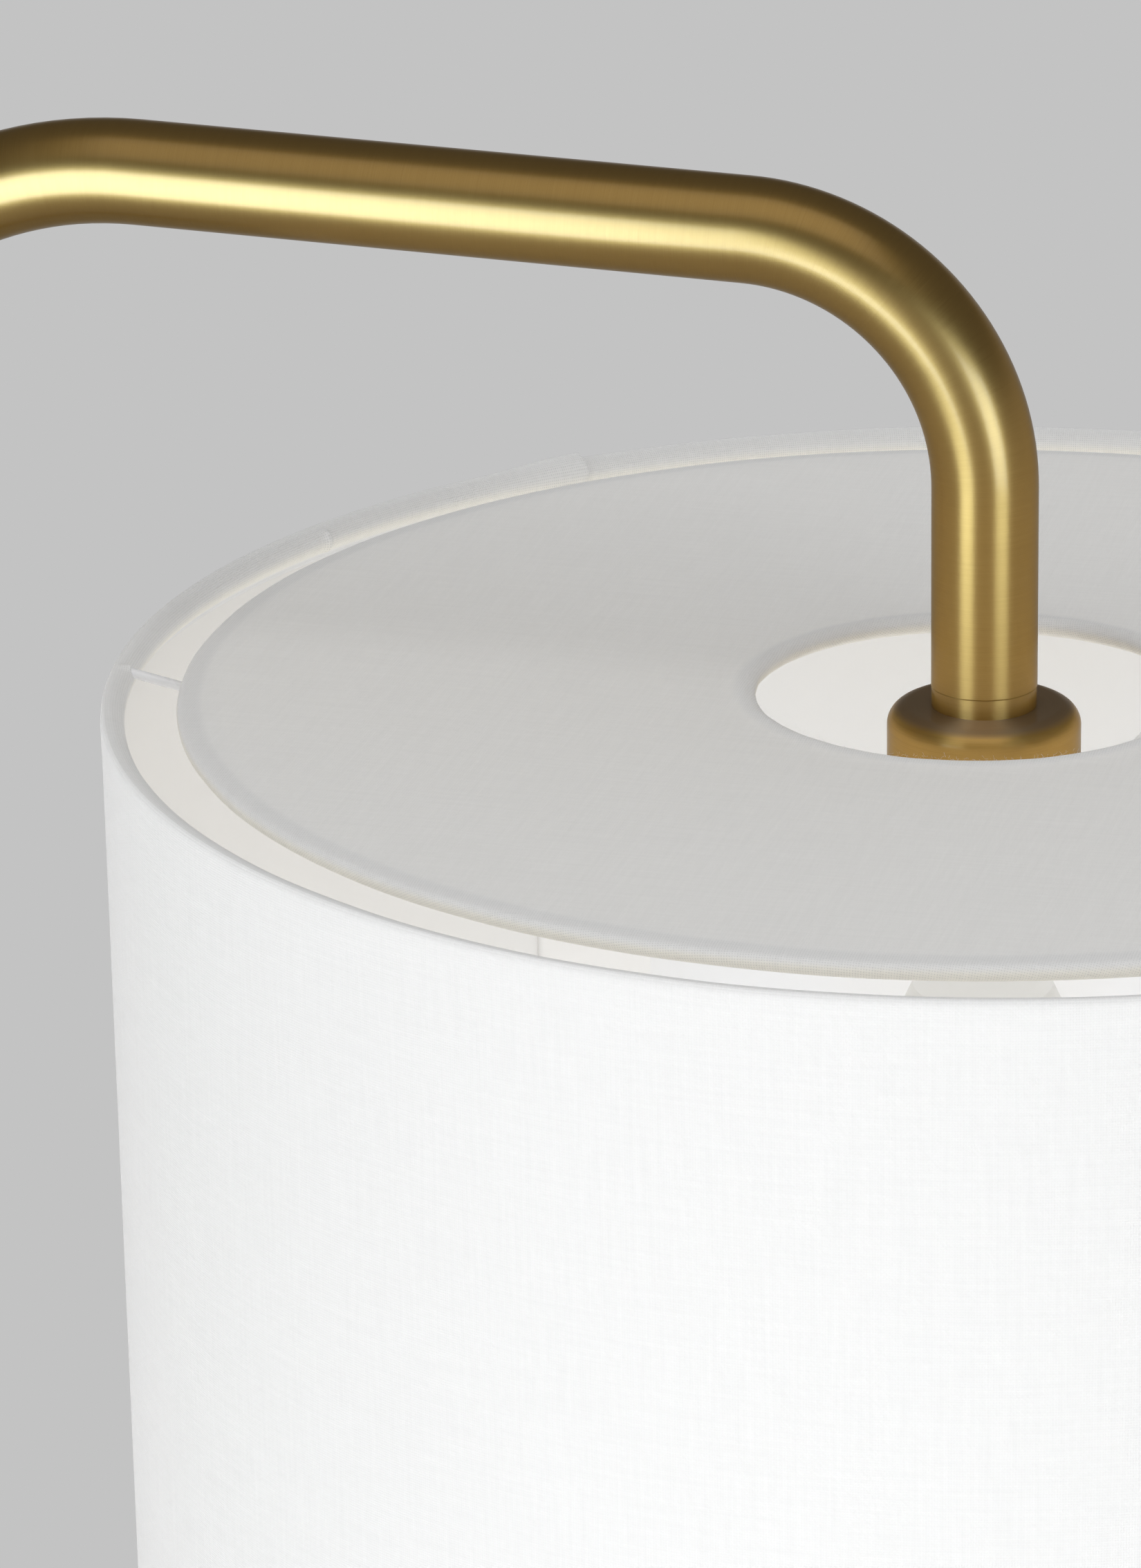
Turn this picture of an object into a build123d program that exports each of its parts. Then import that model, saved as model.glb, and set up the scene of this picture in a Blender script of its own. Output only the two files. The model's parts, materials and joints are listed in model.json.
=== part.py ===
from build123d import *
from math import cos, radians, sin, sqrt, tan
import os

# An arc floor lamp: a weighted round base, a brass pole in two sections, a hooked brass arm and a
# linen drum shade that hangs from the socket at the arm's end.
# Millimetres. The origin is under the pole, on the underside of the base. +Z is up, and +X points
# from the pole to the shade. Head pieces are drawn about the shade's axis, with z = 0 at the
# centre of the shade's top ring wire.

# ---- clearances ----
slip = 0.05            # radial play of a plug, nipple or wire in its hole
seat = 0.3             # gap between two bodies that rest on each other
lap = 0.1              # play round a part that is pushed over another
fold = 0.35            # play between a wire ring and the fabric rolled round it
over = 1.0             # how far a cut runs past the face that it opens

# ---- base ----
base_diameter = 300.0
base_edge = 28.0       # height of the cover at its rim
base_crown = 4.0       # rise of the cover from its rim to its flat centre
base_round = 7.0       # rounding at the cover's rim
cover_wall = 1.2
centre_flat = 26.0     # radius of the flat at the centre of the cover
felt_thickness = 2.0
plate_thickness = 1.5
weight_gap = 6.8       # from the weight's edge to the inside of the cover
weight_thickness = 18.5
boss_radius = 25.0
recess_radius = 22.0   # hollow under the weight for the clamping nut
recess_depth = 16.5
plate_screw_count = 3
plate_screw_inset = 32.0   # from the weight's edge in to the screws
plate_screw_radius = 2.0
plate_screw_length = 10.0

# ---- cord inlet and wiring ----
lead_radius = 2.9      # the flexible lead inside the tubes
lead_rise = 3.1        # height of the lead's centre above the base plate
lead_bend = 8.5        # bend from the base up into the pole
lead_play = 1.0        # each side of the lead in its channel
inlet_bore = 3.3       # radius of the grommet's hole
inlet_neck = 4.8
inlet_flange = 6.4
inlet_lip = 1.3        # thickness of each flange of the grommet
inlet_barb = 0.5       # the inner flange stands out this much from the neck
inlet_lift = 0.5       # from the base plate up to the grommet's neck
block_length = 22.0
block_width = 17.0
block_height = 11.0
block_start = 50.0     # distance from the pole's axis to the near end of the block
block_screw_radius = 1.6
block_screw_length = 6.0

# ---- tube ----
tube_diameter = 25.4
tube_wall = 1.2
tube_chamfer = 0.35
insert_length = 24.0
arm_leg = 470.0        # straight leg of the arm below its first bend
pole_sections = 2

# ---- arm ----
rim_height = 1520.0    # height of the shade's top ring wire above the floor
reach = 310.0          # from the pole's axis to the shade's axis
arm_fall = 2.58        # degrees by which the arm falls towards the shade
pole_bend = 98.2       # centreline radii
head_bend = 60.1
head_leg = 49.05       # straight leg from the tube's lower end up to the head bend

# ---- threads, as plain cylinders of the nominal size ----
base_nipple_radius = 6.5
joint_nipple_radius = 7.0
head_nipple_radius = 5.0
nipple_bore = 3.5
joint_nipple_length = 34.0
nut_height = 5.0
nipple_tail = 1.0      # the base nipple's end below its nut
nut_flats = 22.0
washer_radius = 17.0
washer_thickness = 1.5

# ---- collar at the pole's foot ----
collar_radius = 21.0
collar_height = 12.0
collar_round = 3.0

# ---- socket ----
cap_drop = 3.25        # the cup's top lies this far below the rim
ferrule_height = 4.85
ferrule_step = 0.13    # the ferrule is this much smaller than the tube, in radius
cap_radius = 23.2
cap_height = 43.0
cap_wall = 1.2
cap_round = 5.0
head_nut_flats = 14.0
head_nut_height = 3.0
head_washer_radius = 8.0
head_washer_thickness = 1.0
housing_radius = 18.0
housing_height = 22.0
housing_boss_radius = 8.0
housing_boss_height = 2.0
body_radius = 19.2     # the socket's threaded skirt
body_length = 32.0
shell_radius = 14.0
shell_wall = 0.4
shell_length = 24.0
contact_radius = 4.0
contact_thickness = 1.0
terminal_radius = 2.4
terminal_length = 3.0
terminal_offset = 13.0

# ---- switch key ----
key_depth = 20.7       # from the cup's top to the key's axis
key_play = 1.0         # round the stem where it passes the cup
stem_radius = 2.0
stem_inside = 10.0     # depth of the stem in the housing
knob_radius = 6.0
knob_length = 12.0
knob_play = 1.0        # from the cup to the knob
knob_flutes = 16
knob_flute_radius = 0.7
knob_edge = 0.8        # chamfer

# ---- ring nut and spider ----
ring_nut_radius = 25.5
ring_nut_height = 8.0
ring_nut_ribs = 12
ring_nut_rib_radius = 1.2
ring_nut_step = 1.0    # the ribs stop this far below the nut's top
fitter_radius = 28.0
fitter_thickness = 1.6
spoke_count = 3
spoke_radius = 1.2
first_spoke = 189.5    # degrees from +X
ring_wire_radius = 1.3

# ---- shade ----
shade_diameter = 421.0
shade_height = 254.0   # over the hems
fabric_thickness = 0.6
lining_thickness = 0.8
hem_radius = 3.65      # section radius of the rolled hem
hem_inset = 2.1        # from the cover's face in to the hem's centre
hem_lap = 1.5          # height of the cover and lining above the ring wire's centre

# ---- diffuser ----
diffuser_ring = 187.2  # radius of the outer wire ring
hole_ring = 54.85      # radius of the wire ring round the hole
diffuser_wire = 1.2
diffuser_hem = 2.86
hole_hem = 2.63
panel_thickness = 0.8
panel_lift = 0.35      # from the hem's centre up to the panel's underside
wire_drop = 0.9        # from the hem's centre down to the wire's centre
diffuser_sag = 2.7     # drop of the panel from its outer edge to the hole
diffuser_shift = 2.4   # the diffuser lies this far off centre, towards the pole
diffuser_seat = 0.2    # gap between the diffuser's hem and the spokes

# ---- bulb ----
bulb_cap_radius = 13.2
bulb_contact_radius = 4.0
bulb_contact_height = 2.0
bulb_neck_radius = 17.0
bulb_radius = 30.0
bulb_housing_length = 38.0
bulb_globe_length = 48.0
bulb_gap = 0.8         # from the socket's mouth to the bulb's housing
bulb_rim = 1.5         # step where the globe sits in the housing
bulb_neck_length = 9.5
bulb_edge = 1.0        # chamfer at the neck's top
bulb_lip = 2.0         # straight band at the housing's lower end
globe_wall = 1.2
board_thickness = 1.6

# ---- derived: the base and the tubes, in the lamp's own frame ----
base_radius = base_diameter / 2
weight_radius = base_radius - cover_wall - weight_gap
tube_radius = tube_diameter / 2
bore_radius = tube_radius - tube_wall
plate_top = felt_thickness + plate_thickness
weight_top = plate_top + weight_thickness
recess_top = plate_top + recess_depth
cover_top = base_edge + base_crown
cover_under = cover_top - cover_wall
lead_height = plate_top + lead_rise
inlet_height = plate_top + inlet_neck + inlet_lift
tube_end = ferrule_height - cap_drop           # about the shade's axis
bend_start = tube_end + head_leg
head_corner = rim_height + bend_start + head_bend * tan(radians(90 - arm_fall) / 2)
pole_corner = head_corner + reach * tan(radians(arm_fall))
arm_foot = pole_corner - pole_bend * tan(radians(90 + arm_fall) / 2) - arm_leg
section_length = (arm_foot - cover_top) / pole_sections

# ---- derived: heights about the shade's axis ----
cap_top = -cap_drop
cap_bottom = cap_top - cap_height
head_washer_top = cap_top - cap_wall
head_nut_top = head_washer_top - head_washer_thickness
boss_top = head_nut_top - head_nut_height - lap
housing_top = boss_top - housing_boss_height
housing_bottom = housing_top - housing_height
body_bottom = housing_bottom - body_length
bulb_top = body_bottom - bulb_gap
key_height = cap_top - key_depth
fitter_top = cap_bottom - seat
fitter_middle = fitter_top - fitter_thickness / 2
ring_nut_top = fitter_top - fitter_thickness - seat
cover_radius = shade_diameter / 2
lining_outer = cover_radius - fabric_thickness - slip
lining_inner = lining_outer - lining_thickness
ring_wire_ring = lining_inner - slip - ring_wire_radius
hem_ring = cover_radius - hem_inset
bottom_wire = 2 * hem_radius - shade_height    # z of the bottom ring wire
spoke_top = ring_wire_radius + spoke_radius
spoke_slope = (spoke_top - fitter_middle) / (ring_wire_ring - fitter_radius)

HEAD = Pos(reach, 0, rim_height)


def spoke_height(radius):
    """Height of a spoke's centreline at a distance from the shade's axis."""
    return spoke_top - (ring_wire_ring - radius) * spoke_slope


spoke_tilt = sqrt(1 + spoke_slope ** 2)
diffuser_height = (spoke_height(diffuser_ring + diffuser_shift)
                   + (diffuser_hem + spoke_radius + diffuser_seat) * spoke_tilt)
hole_height = diffuser_height - diffuser_sag
shift_side = radians(first_spoke)
DIFFUSER = HEAD * Pos(diffuser_shift * cos(shift_side), diffuser_shift * sin(shift_side), 0)


# ---- helpers ----
def disc(radius, low, high):
    """Solid cylinder on the Z axis from one height to another."""
    base = (Align.CENTER, Align.CENTER, Align.MIN)
    return Pos(0, 0, low) * Cylinder(radius, high - low, align=base)


def sleeve(outer, inner, low, high):
    """Hollow cylinder on the Z axis."""
    return disc(outer, low, high) - disc(inner, low - over, high + over)


def hexagon(flats, bore, low, high):
    """Hexagon nut on the Z axis."""
    flat_to_corner = 2 / sqrt(3)
    sketch = RegularPolygon(flats / 2 * flat_to_corner, 6)
    return Pos(0, 0, low) * extrude(sketch, high - low) - disc(bore, low - over, high + over)


def hoop(ring, section, height=0.0):
    """Round bar bent to a ring about the Z axis."""
    return Pos(0, 0, height) * Torus(ring, section)


def rod_along_x(radius, start, end, height):
    """Solid cylinder along X."""
    base = (Align.CENTER, Align.CENTER, Align.MIN)
    return Pos(start, 0, height) * Rot(0, 90, 0) * Cylinder(radius, end - start, align=base)


def rod_along_y(radius, start, end, height):
    """Solid cylinder along Y."""
    base = (Align.CENTER, Align.CENTER, Align.MIN)
    return Pos(0, start, height) * Rot(-90, 0, 0) * Cylinder(radius, end - start, align=base)


def spun(points):
    """Solid turned about the Z axis from a closed outline of (radius, height) points."""
    return revolve(make_face(Plane.XZ * Polyline(*points, close=True)), Axis.Z)


def group(shapes):
    """Separate solids kept in one node."""
    return Compound(children=list(shapes))


# ---- base ----
def cover_form(inset):
    """The cover's outer form, drawn in by a wall's thickness, down to the felt's top."""
    edge = base_radius - inset
    top = cover_top - inset
    shoulder = base_edge - inset
    run = edge - centre_flat
    curve = (run ** 2 + base_crown ** 2) / (2 * base_crown)
    middle_height = top - curve + sqrt(curve ** 2 - (run / 2) ** 2)
    outline = (
        Line((0, felt_thickness), (edge, felt_thickness))
        + Line((edge, felt_thickness), (edge, shoulder))
        + ThreePointArc((edge, shoulder), (centre_flat + run / 2, middle_height), (centre_flat, top))
        + Line((centre_flat, top), (0, top))
        + Line((0, top), (0, felt_thickness))
    )
    form = revolve(make_face(Plane.XZ * outline), Axis.Z)
    rim = [edge for edge in form.edges().filter_by(GeomType.CIRCLE)
           if abs(edge.center().Z - shoulder) < 0.01]
    return fillet(rim, base_round - inset)


def make_felt_pad():
    return disc(base_radius - seat, 0, felt_thickness)


def plate_screw_places():
    half_step = 180 / plate_screw_count
    return PolarLocations(weight_radius - plate_screw_inset, plate_screw_count, start_angle=half_step)


def make_base_plate():
    plate = disc(base_radius - cover_wall - lap, felt_thickness, plate_top)
    holes = disc(plate_screw_radius + slip, 0, plate_top + over)
    return plate - [place * holes for place in plate_screw_places()]


def make_plate_screws():
    """Countersunk screws that hold the base plate to the weight."""
    shank = disc(plate_screw_radius, felt_thickness + slip, felt_thickness + plate_screw_length)
    return group(place * shank for place in plate_screw_places())


def make_base_weight():
    weight = disc(weight_radius, plate_top, weight_top) + disc(boss_radius, plate_top, cover_under)
    recess = disc(recess_radius, plate_top - over, recess_top)
    bore = disc(base_nipple_radius + slip, plate_top, cover_top)
    channel = Box(weight_radius + lap, 2 * (lead_radius + lead_play), 2 * (lead_rise + lead_radius + lap),
                  align=(Align.MAX, Align.CENTER, Align.CENTER))
    pocket = Pos(-block_start + lap, 0, plate_top) * Box(
        block_length + 2 * lap, block_width + 2 * lap, 2 * (block_height + lap),
        align=(Align.MAX, Align.CENTER, Align.CENTER))
    screw_top = felt_thickness + plate_screw_length + over
    screw = disc(plate_screw_radius + slip, plate_top - over, screw_top)
    screws = [place * screw for place in plate_screw_places()]
    return weight - [recess, bore, Pos(0, 0, plate_top) * channel, pocket] - screws


def make_base_cover():
    shell = cover_form(0) - cover_form(cover_wall)
    inlet = rod_along_x(inlet_neck + slip, -base_diameter, -weight_radius, inlet_height)
    return shell - disc(base_nipple_radius + slip, 0, cover_top + over) - inlet


def make_cord_grommet(cover):
    """Rubber bush that lines the cord's hole in the cover."""
    outside = -base_radius
    inside = outside + cover_wall
    bush = rod_along_x(inlet_neck, outside - inlet_lip, inside + inlet_lip, inlet_height)
    bush += rod_along_x(inlet_flange, outside - inlet_lip, outside + inlet_lip, inlet_height)
    bush += rod_along_x(inlet_neck + inlet_barb, inside, inside + inlet_lip, inlet_height)
    return bush - cover - rod_along_x(inlet_bore, 2 * outside, 0, inlet_height)


def block_screw_places():
    end = block_length / 4
    side = block_width / 4
    centre = Pos(-block_start - block_length / 2, 0, 0)
    return [centre * Pos(x, y, 0) for x in (-end, end) for y in (-side, side)]


def make_terminal_block():
    block = Pos(-block_start, 0, plate_top) * Box(
        block_length, block_width, block_height, align=(Align.MAX, Align.CENTER, Align.MIN))
    top = plate_top + block_height
    hole = disc(block_screw_radius + slip, top - block_screw_length - lap, top + over)
    return block - [place * hole for place in block_screw_places()]


def make_terminal_screws():
    top = plate_top + block_height
    screw = disc(block_screw_radius, top - block_screw_length, top - lap)
    return group(place * screw for place in block_screw_places())


def make_base_washer():
    return sleeve(washer_radius, base_nipple_radius + slip, recess_top - washer_thickness, recess_top)


def make_base_nut():
    top = recess_top - washer_thickness
    return hexagon(nut_flats, base_nipple_radius + slip, top - nut_height, top)


def make_base_nipple():
    low = recess_top - washer_thickness - nut_height - nipple_tail
    return sleeve(base_nipple_radius, nipple_bore, low, cover_top + insert_length / 2)


# ---- pole ----
def make_pole_collar():
    ring = sleeve(collar_radius, tube_radius + slip, cover_top, cover_top + collar_height)
    outer_top = ring.edges().filter_by(GeomType.CIRCLE).group_by(Axis.Z)[-1].sort_by(SortBy.RADIUS)[-1]
    return fillet(outer_top, collar_round)


def straight_tube(low, high):
    """A pole section, lightly chamfered at its ends."""
    tube = sleeve(tube_radius, bore_radius, low, high)
    rims = [edge for edge in tube.edges().filter_by(GeomType.CIRCLE)
            if abs(edge.radius - tube_radius) < 0.01]
    return chamfer(rims, tube_chamfer)


def tube_insert(low, high, nipple_radius):
    """Steel plug fixed in a tube's end, tapped for a nipple."""
    return sleeve(bore_radius - slip, nipple_radius + slip, low, high)


def joint_height(number):
    """Height of the lower end of a pole section, or of the arm after the last one."""
    return cover_top + number * section_length


def make_joint_nipple(number):
    middle = joint_height(number)
    half = joint_nipple_length / 2
    return sleeve(joint_nipple_radius, nipple_bore, middle - half, middle + half)


# ---- arm ----
def arm_route(low, high, floor_run=None):
    """Centreline up the pole, over both bends and down to a height above the shade's rim."""
    corners = [(0, 0, low), (0, 0, pole_corner), (reach, 0, head_corner), (reach, 0, rim_height + high)]
    bends = [pole_bend, head_bend]
    if floor_run:
        corners.insert(0, (-floor_run, 0, low))
        bends.insert(0, lead_bend)
    return FilletPolyline(*corners, radius=bends)


def along_arm(route, radius):
    start = Plane(origin=route @ 0, z_dir=route % 0)
    return sweep(start * Circle(radius), path=route)


def make_arm_tube():
    route = arm_route(arm_foot, tube_end)
    tube = along_arm(route, tube_radius) - along_arm(route, bore_radius)
    rims = [edge for edge in tube.edges().filter_by(GeomType.CIRCLE)
            if abs(edge.radius - tube_radius) < 0.01
            and (abs(edge.center().Z - arm_foot) < 0.01
                 or abs(edge.center().Z - rim_height - tube_end) < 0.01)]
    return chamfer(rims, tube_chamfer)


def make_inner_lead():
    """Flexible lead from the base's terminal block to the switch housing."""
    return along_arm(arm_route(lead_height, boss_top - lap, block_start), lead_radius)


def make_arm_end_insert():
    return HEAD * sleeve(bore_radius - slip, head_nipple_radius + slip, tube_end, tube_end + insert_length)


def make_ferrule():
    radius = tube_radius - ferrule_step
    return HEAD * sleeve(radius, head_nipple_radius + slip, cap_top, cap_top + ferrule_height)


def make_head_nipple():
    return HEAD * sleeve(head_nipple_radius, nipple_bore, housing_top, tube_end + insert_length / 2)


# ---- socket ----
def make_socket_cap():
    cup = disc(cap_radius, cap_bottom, cap_top)
    cup = fillet(cup.edges().group_by(Axis.Z)[-1], cap_round)
    hollow = disc(cap_radius - cap_wall, cap_bottom, cap_top - cap_wall)
    hollow = fillet(hollow.edges().group_by(Axis.Z)[-1], cap_round - cap_wall)
    cup -= hollow + disc(head_nipple_radius + slip, cap_bottom, cap_top + over)
    return HEAD * (cup - rod_along_y(stem_radius + key_play, 0, cap_radius + over, key_height))


def make_head_washer():
    return HEAD * sleeve(head_washer_radius, head_nipple_radius + slip, head_nut_top, head_washer_top)


def make_head_nut():
    low = head_nut_top - head_nut_height
    return HEAD * hexagon(head_nut_flats, head_nipple_radius + slip, low, head_nut_top)


def make_switch_housing():
    """Moulded upper half of the socket, which holds the rotary switch."""
    housing = disc(housing_radius, housing_bottom, housing_top)
    housing += disc(housing_boss_radius, housing_top, boss_top)
    bore = disc(head_nipple_radius + slip, housing_top, boss_top + over)
    stem = rod_along_y(stem_radius + slip, housing_radius - stem_inside - slip, cap_radius, key_height)
    return HEAD * (housing - [bore, stem])


def make_socket_body():
    """Porcelain lower half, with the threaded skirt that carries the shade's ring nut."""
    body = disc(body_radius, body_bottom, housing_bottom)
    mouth = disc(shell_radius + slip, body_bottom - over, body_bottom + shell_length)
    well = disc(contact_radius + slip, body_bottom, body_bottom + shell_length + contact_thickness)
    holes = [Pos(side * terminal_offset, 0, 0)
             * disc(terminal_radius + slip, housing_bottom - terminal_length - lap, housing_bottom + over)
             for side in (-1, 1)]
    return HEAD * (body - [mouth, well] - holes)


def make_socket_terminals():
    screw = disc(terminal_radius, housing_bottom - terminal_length, housing_bottom)
    return HEAD * group(Pos(side * terminal_offset, 0, 0) * screw for side in (-1, 1))


def make_screw_shell():
    return HEAD * sleeve(shell_radius, shell_radius - shell_wall, body_bottom + lap,
                         body_bottom + shell_length)


def make_centre_contact():
    low = body_bottom + shell_length
    return HEAD * disc(contact_radius, low, low + contact_thickness)


def make_switch_stem():
    return HEAD * rod_along_y(stem_radius, housing_radius - stem_inside, cap_radius + knob_play, key_height)


def make_switch_knob():
    start = cap_radius + knob_play
    knob = rod_along_y(knob_radius, start, start + knob_length, key_height)
    knob = chamfer(knob.edges().filter_by(GeomType.CIRCLE), knob_edge)
    flute = Pos(knob_radius, 0, 0) * rod_along_y(knob_flute_radius, start - over, start + knob_length + over, 0)
    turns = [Rot(0, number * 360 / knob_flutes, 0) * flute for number in range(knob_flutes)]
    return HEAD * (knob - [Pos(0, 0, key_height) * turn for turn in turns])


# ---- bulb ----
def make_bulb_cap():
    top = body_bottom + shell_length - bulb_contact_height - seat
    return HEAD * disc(bulb_cap_radius, bulb_top, top)


def make_bulb_contact():
    low = body_bottom + shell_length - bulb_contact_height - seat
    return HEAD * disc(bulb_contact_radius, low, low + bulb_contact_height)


def make_bulb_housing():
    """White lower shell, from a straight neck out to the globe's rim."""
    low = bulb_top - bulb_housing_length
    lip = bulb_radius - bulb_rim / 2
    outline = [(0, bulb_top), (bulb_neck_radius - bulb_edge, bulb_top),
               (bulb_neck_radius, bulb_top - bulb_edge), (bulb_neck_radius, bulb_top - bulb_neck_length),
               (lip, low + bulb_lip), (lip, low), (0, low)]
    return HEAD * spun(outline)


def globe_form(inset):
    """A short conical rim and a round end, drawn in by a wall's thickness."""
    high = bulb_top - bulb_housing_length
    middle = high - bulb_globe_length + bulb_radius
    radius = bulb_radius - inset
    slant = radius * sin(radians(45))
    outline = (
        Line((0, high), (radius - bulb_rim, high))
        + Line((radius - bulb_rim, high), (radius, middle))
        + ThreePointArc((radius, middle), (slant, middle - slant), (0, middle - radius))
        + Line((0, middle - radius), (0, high))
    )
    return revolve(make_face(Plane.XZ * outline), Axis.Z)


def make_bulb_globe():
    """Frosted hollow cover over the bulb's light board."""
    return HEAD * (globe_form(0) - globe_form(globe_wall))


def make_bulb_board():
    """Round board that carries the light sources, on the housing's lower face."""
    high = bulb_top - bulb_housing_length
    inside = bulb_radius - bulb_rim - globe_wall - lap
    return HEAD * disc(inside, high - board_thickness, high)


# ---- shade ----
def make_ring_nut():
    low = ring_nut_top - ring_nut_height
    ring = sleeve(ring_nut_radius, body_radius + slip, low, ring_nut_top)
    rib = disc(ring_nut_rib_radius, low, ring_nut_top - ring_nut_step)
    return HEAD * (ring + [place * rib for place in PolarLocations(ring_nut_radius, ring_nut_ribs)])


def fitter_ring():
    return sleeve(fitter_radius, body_radius + 2 * seat, fitter_top - fitter_thickness, fitter_top)


def spoke_angles():
    return [first_spoke + number * 360 / spoke_count for number in range(spoke_count)]


def spoke_rods(radius, overrun=0.0):
    """The spokes as plain rods, from the fitter ring up to the top ring wire."""
    low = Vector(fitter_radius - spoke_radius, 0, spoke_height(fitter_radius - spoke_radius))
    high = Vector(ring_wire_ring + overrun, 0, spoke_height(ring_wire_ring + overrun))
    rod = Solid.make_cylinder(radius, (high - low).length, Plane(origin=low, z_dir=high - low))
    return [Rot(0, 0, angle) * rod for angle in spoke_angles()]


def make_spider_spokes():
    """Spokes welded to the fitter ring's edge and to the top of the ring wire."""
    welds = [fitter_ring(), hoop(ring_wire_ring, ring_wire_radius)]
    return HEAD * group(rod - welds for rod in spoke_rods(spoke_radius))


def shade_band(inner, outer, play=0.0):
    """A straight band of the shade's wall between its two rolled hems."""
    low = bottom_wire - hem_lap - play
    return sleeve(outer + play, inner - play, low, hem_lap + play)


def make_shade_lining():
    return HEAD * shade_band(lining_inner, lining_outer)


def make_shade_cover():
    return HEAD * shade_band(cover_radius - fabric_thickness, cover_radius)


def rolled_hem(height):
    """Fabric rolled over the edge of the wall and its ring wire."""
    wire = hoop(ring_wire_ring, ring_wire_radius + fold, height)
    return hoop(hem_ring, hem_radius, height) - wire - shade_band(lining_inner, cover_radius, slip)


def make_top_hem():
    return HEAD * (rolled_hem(0) - spoke_rods(spoke_radius + lap, hem_radius))


def diffuser_sheet(low, high, play=0.0):
    """Dished ring sheet between the diffuser's two wire rings."""
    outer = diffuser_ring + play
    inner = hole_ring - play
    return spun([(outer, diffuser_height + low), (outer, diffuser_height + high),
                 (inner, hole_height + high), (inner, hole_height + low)])


def make_diffuser_pieces():
    """The panel with its fabric, two wire rings and two rolled hems."""
    panel_top = panel_lift + panel_thickness
    panel = diffuser_sheet(panel_lift, panel_top)
    fabric = diffuser_sheet(panel_top + slip, panel_top + slip + fabric_thickness)
    filled = diffuser_sheet(panel_lift - slip, panel_top + 2 * slip + fabric_thickness, slip)
    pieces = {"diffuser_panel": panel, "diffuser_fabric": fabric}
    rings = {"outer": (diffuser_ring, diffuser_height, diffuser_hem),
             "hole": (hole_ring, hole_height, hole_hem)}
    for name, (ring, height, hem) in rings.items():
        wire = (ring, diffuser_wire, height - wire_drop)
        pieces[f"diffuser_{name}_wire"] = hoop(*wire)
        play = hoop(ring, diffuser_wire + fold, height - wire_drop)
        pieces[f"diffuser_{name}_hem"] = hoop(ring, hem, height) - play - filled
    return {name: DIFFUSER * piece for name, piece in pieces.items()}


# ---- all pieces ----
def make_pieces():
    base_cover = make_base_cover()
    pieces = {
        "felt_pad": make_felt_pad(),
        "base_plate": make_base_plate(),
        "plate_screws": make_plate_screws(),
        "base_weight": make_base_weight(),
        "base_cover": base_cover,
        "cord_grommet": make_cord_grommet(base_cover),
        "terminal_block": make_terminal_block(),
        "terminal_screws": make_terminal_screws(),
        "base_washer": make_base_washer(),
        "base_nut": make_base_nut(),
        "base_nipple": make_base_nipple(),
        "pole_collar": make_pole_collar(),
        "inner_lead": make_inner_lead(),
        "arm_tube": make_arm_tube(),
        "arm_end_insert": make_arm_end_insert(),
        "ferrule": make_ferrule(),
        "head_nipple": make_head_nipple(),
        "socket_cap": make_socket_cap(),
        "head_washer": make_head_washer(),
        "head_nut": make_head_nut(),
        "switch_housing": make_switch_housing(),
        "socket_body": make_socket_body(),
        "socket_terminals": make_socket_terminals(),
        "screw_shell": make_screw_shell(),
        "centre_contact": make_centre_contact(),
        "switch_stem": make_switch_stem(),
        "switch_knob": make_switch_knob(),
        "bulb_cap": make_bulb_cap(),
        "bulb_contact": make_bulb_contact(),
        "bulb_housing": make_bulb_housing(),
        "bulb_globe": make_bulb_globe(),
        "bulb_board": make_bulb_board(),
        "ring_nut": make_ring_nut(),
        "fitter_ring": HEAD * fitter_ring(),
        "spider_spokes": make_spider_spokes(),
        "shade_lining": make_shade_lining(),
        "shade_cover": make_shade_cover(),
        "top_ring_wire": HEAD * hoop(ring_wire_ring, ring_wire_radius),
        "bottom_ring_wire": HEAD * hoop(ring_wire_ring, ring_wire_radius, bottom_wire),
        "top_hem": make_top_hem(),
        "bottom_hem": HEAD * rolled_hem(bottom_wire),
    }
    for number in range(1, pole_sections + 1):
        foot = joint_height(number - 1)
        head = joint_height(number)
        thread = base_nipple_radius if number == 1 else joint_nipple_radius
        pieces[f"pole_tube_{number}"] = straight_tube(foot, head)
        pieces[f"pole_foot_insert_{number}"] = tube_insert(foot, foot + insert_length, thread)
        pieces[f"pole_top_insert_{number}"] = tube_insert(head - insert_length, head, joint_nipple_radius)
        pieces[f"joint_nipple_{number}"] = make_joint_nipple(number)
    pieces["arm_foot_insert"] = tube_insert(arm_foot, arm_foot + insert_length, joint_nipple_radius)
    pieces.update(make_diffuser_pieces())
    return pieces


os.makedirs("parts", exist_ok=True)
for name, piece in make_pieces().items():
    export_step(piece, f"parts/{name}.step")
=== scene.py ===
import json
import math

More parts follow.
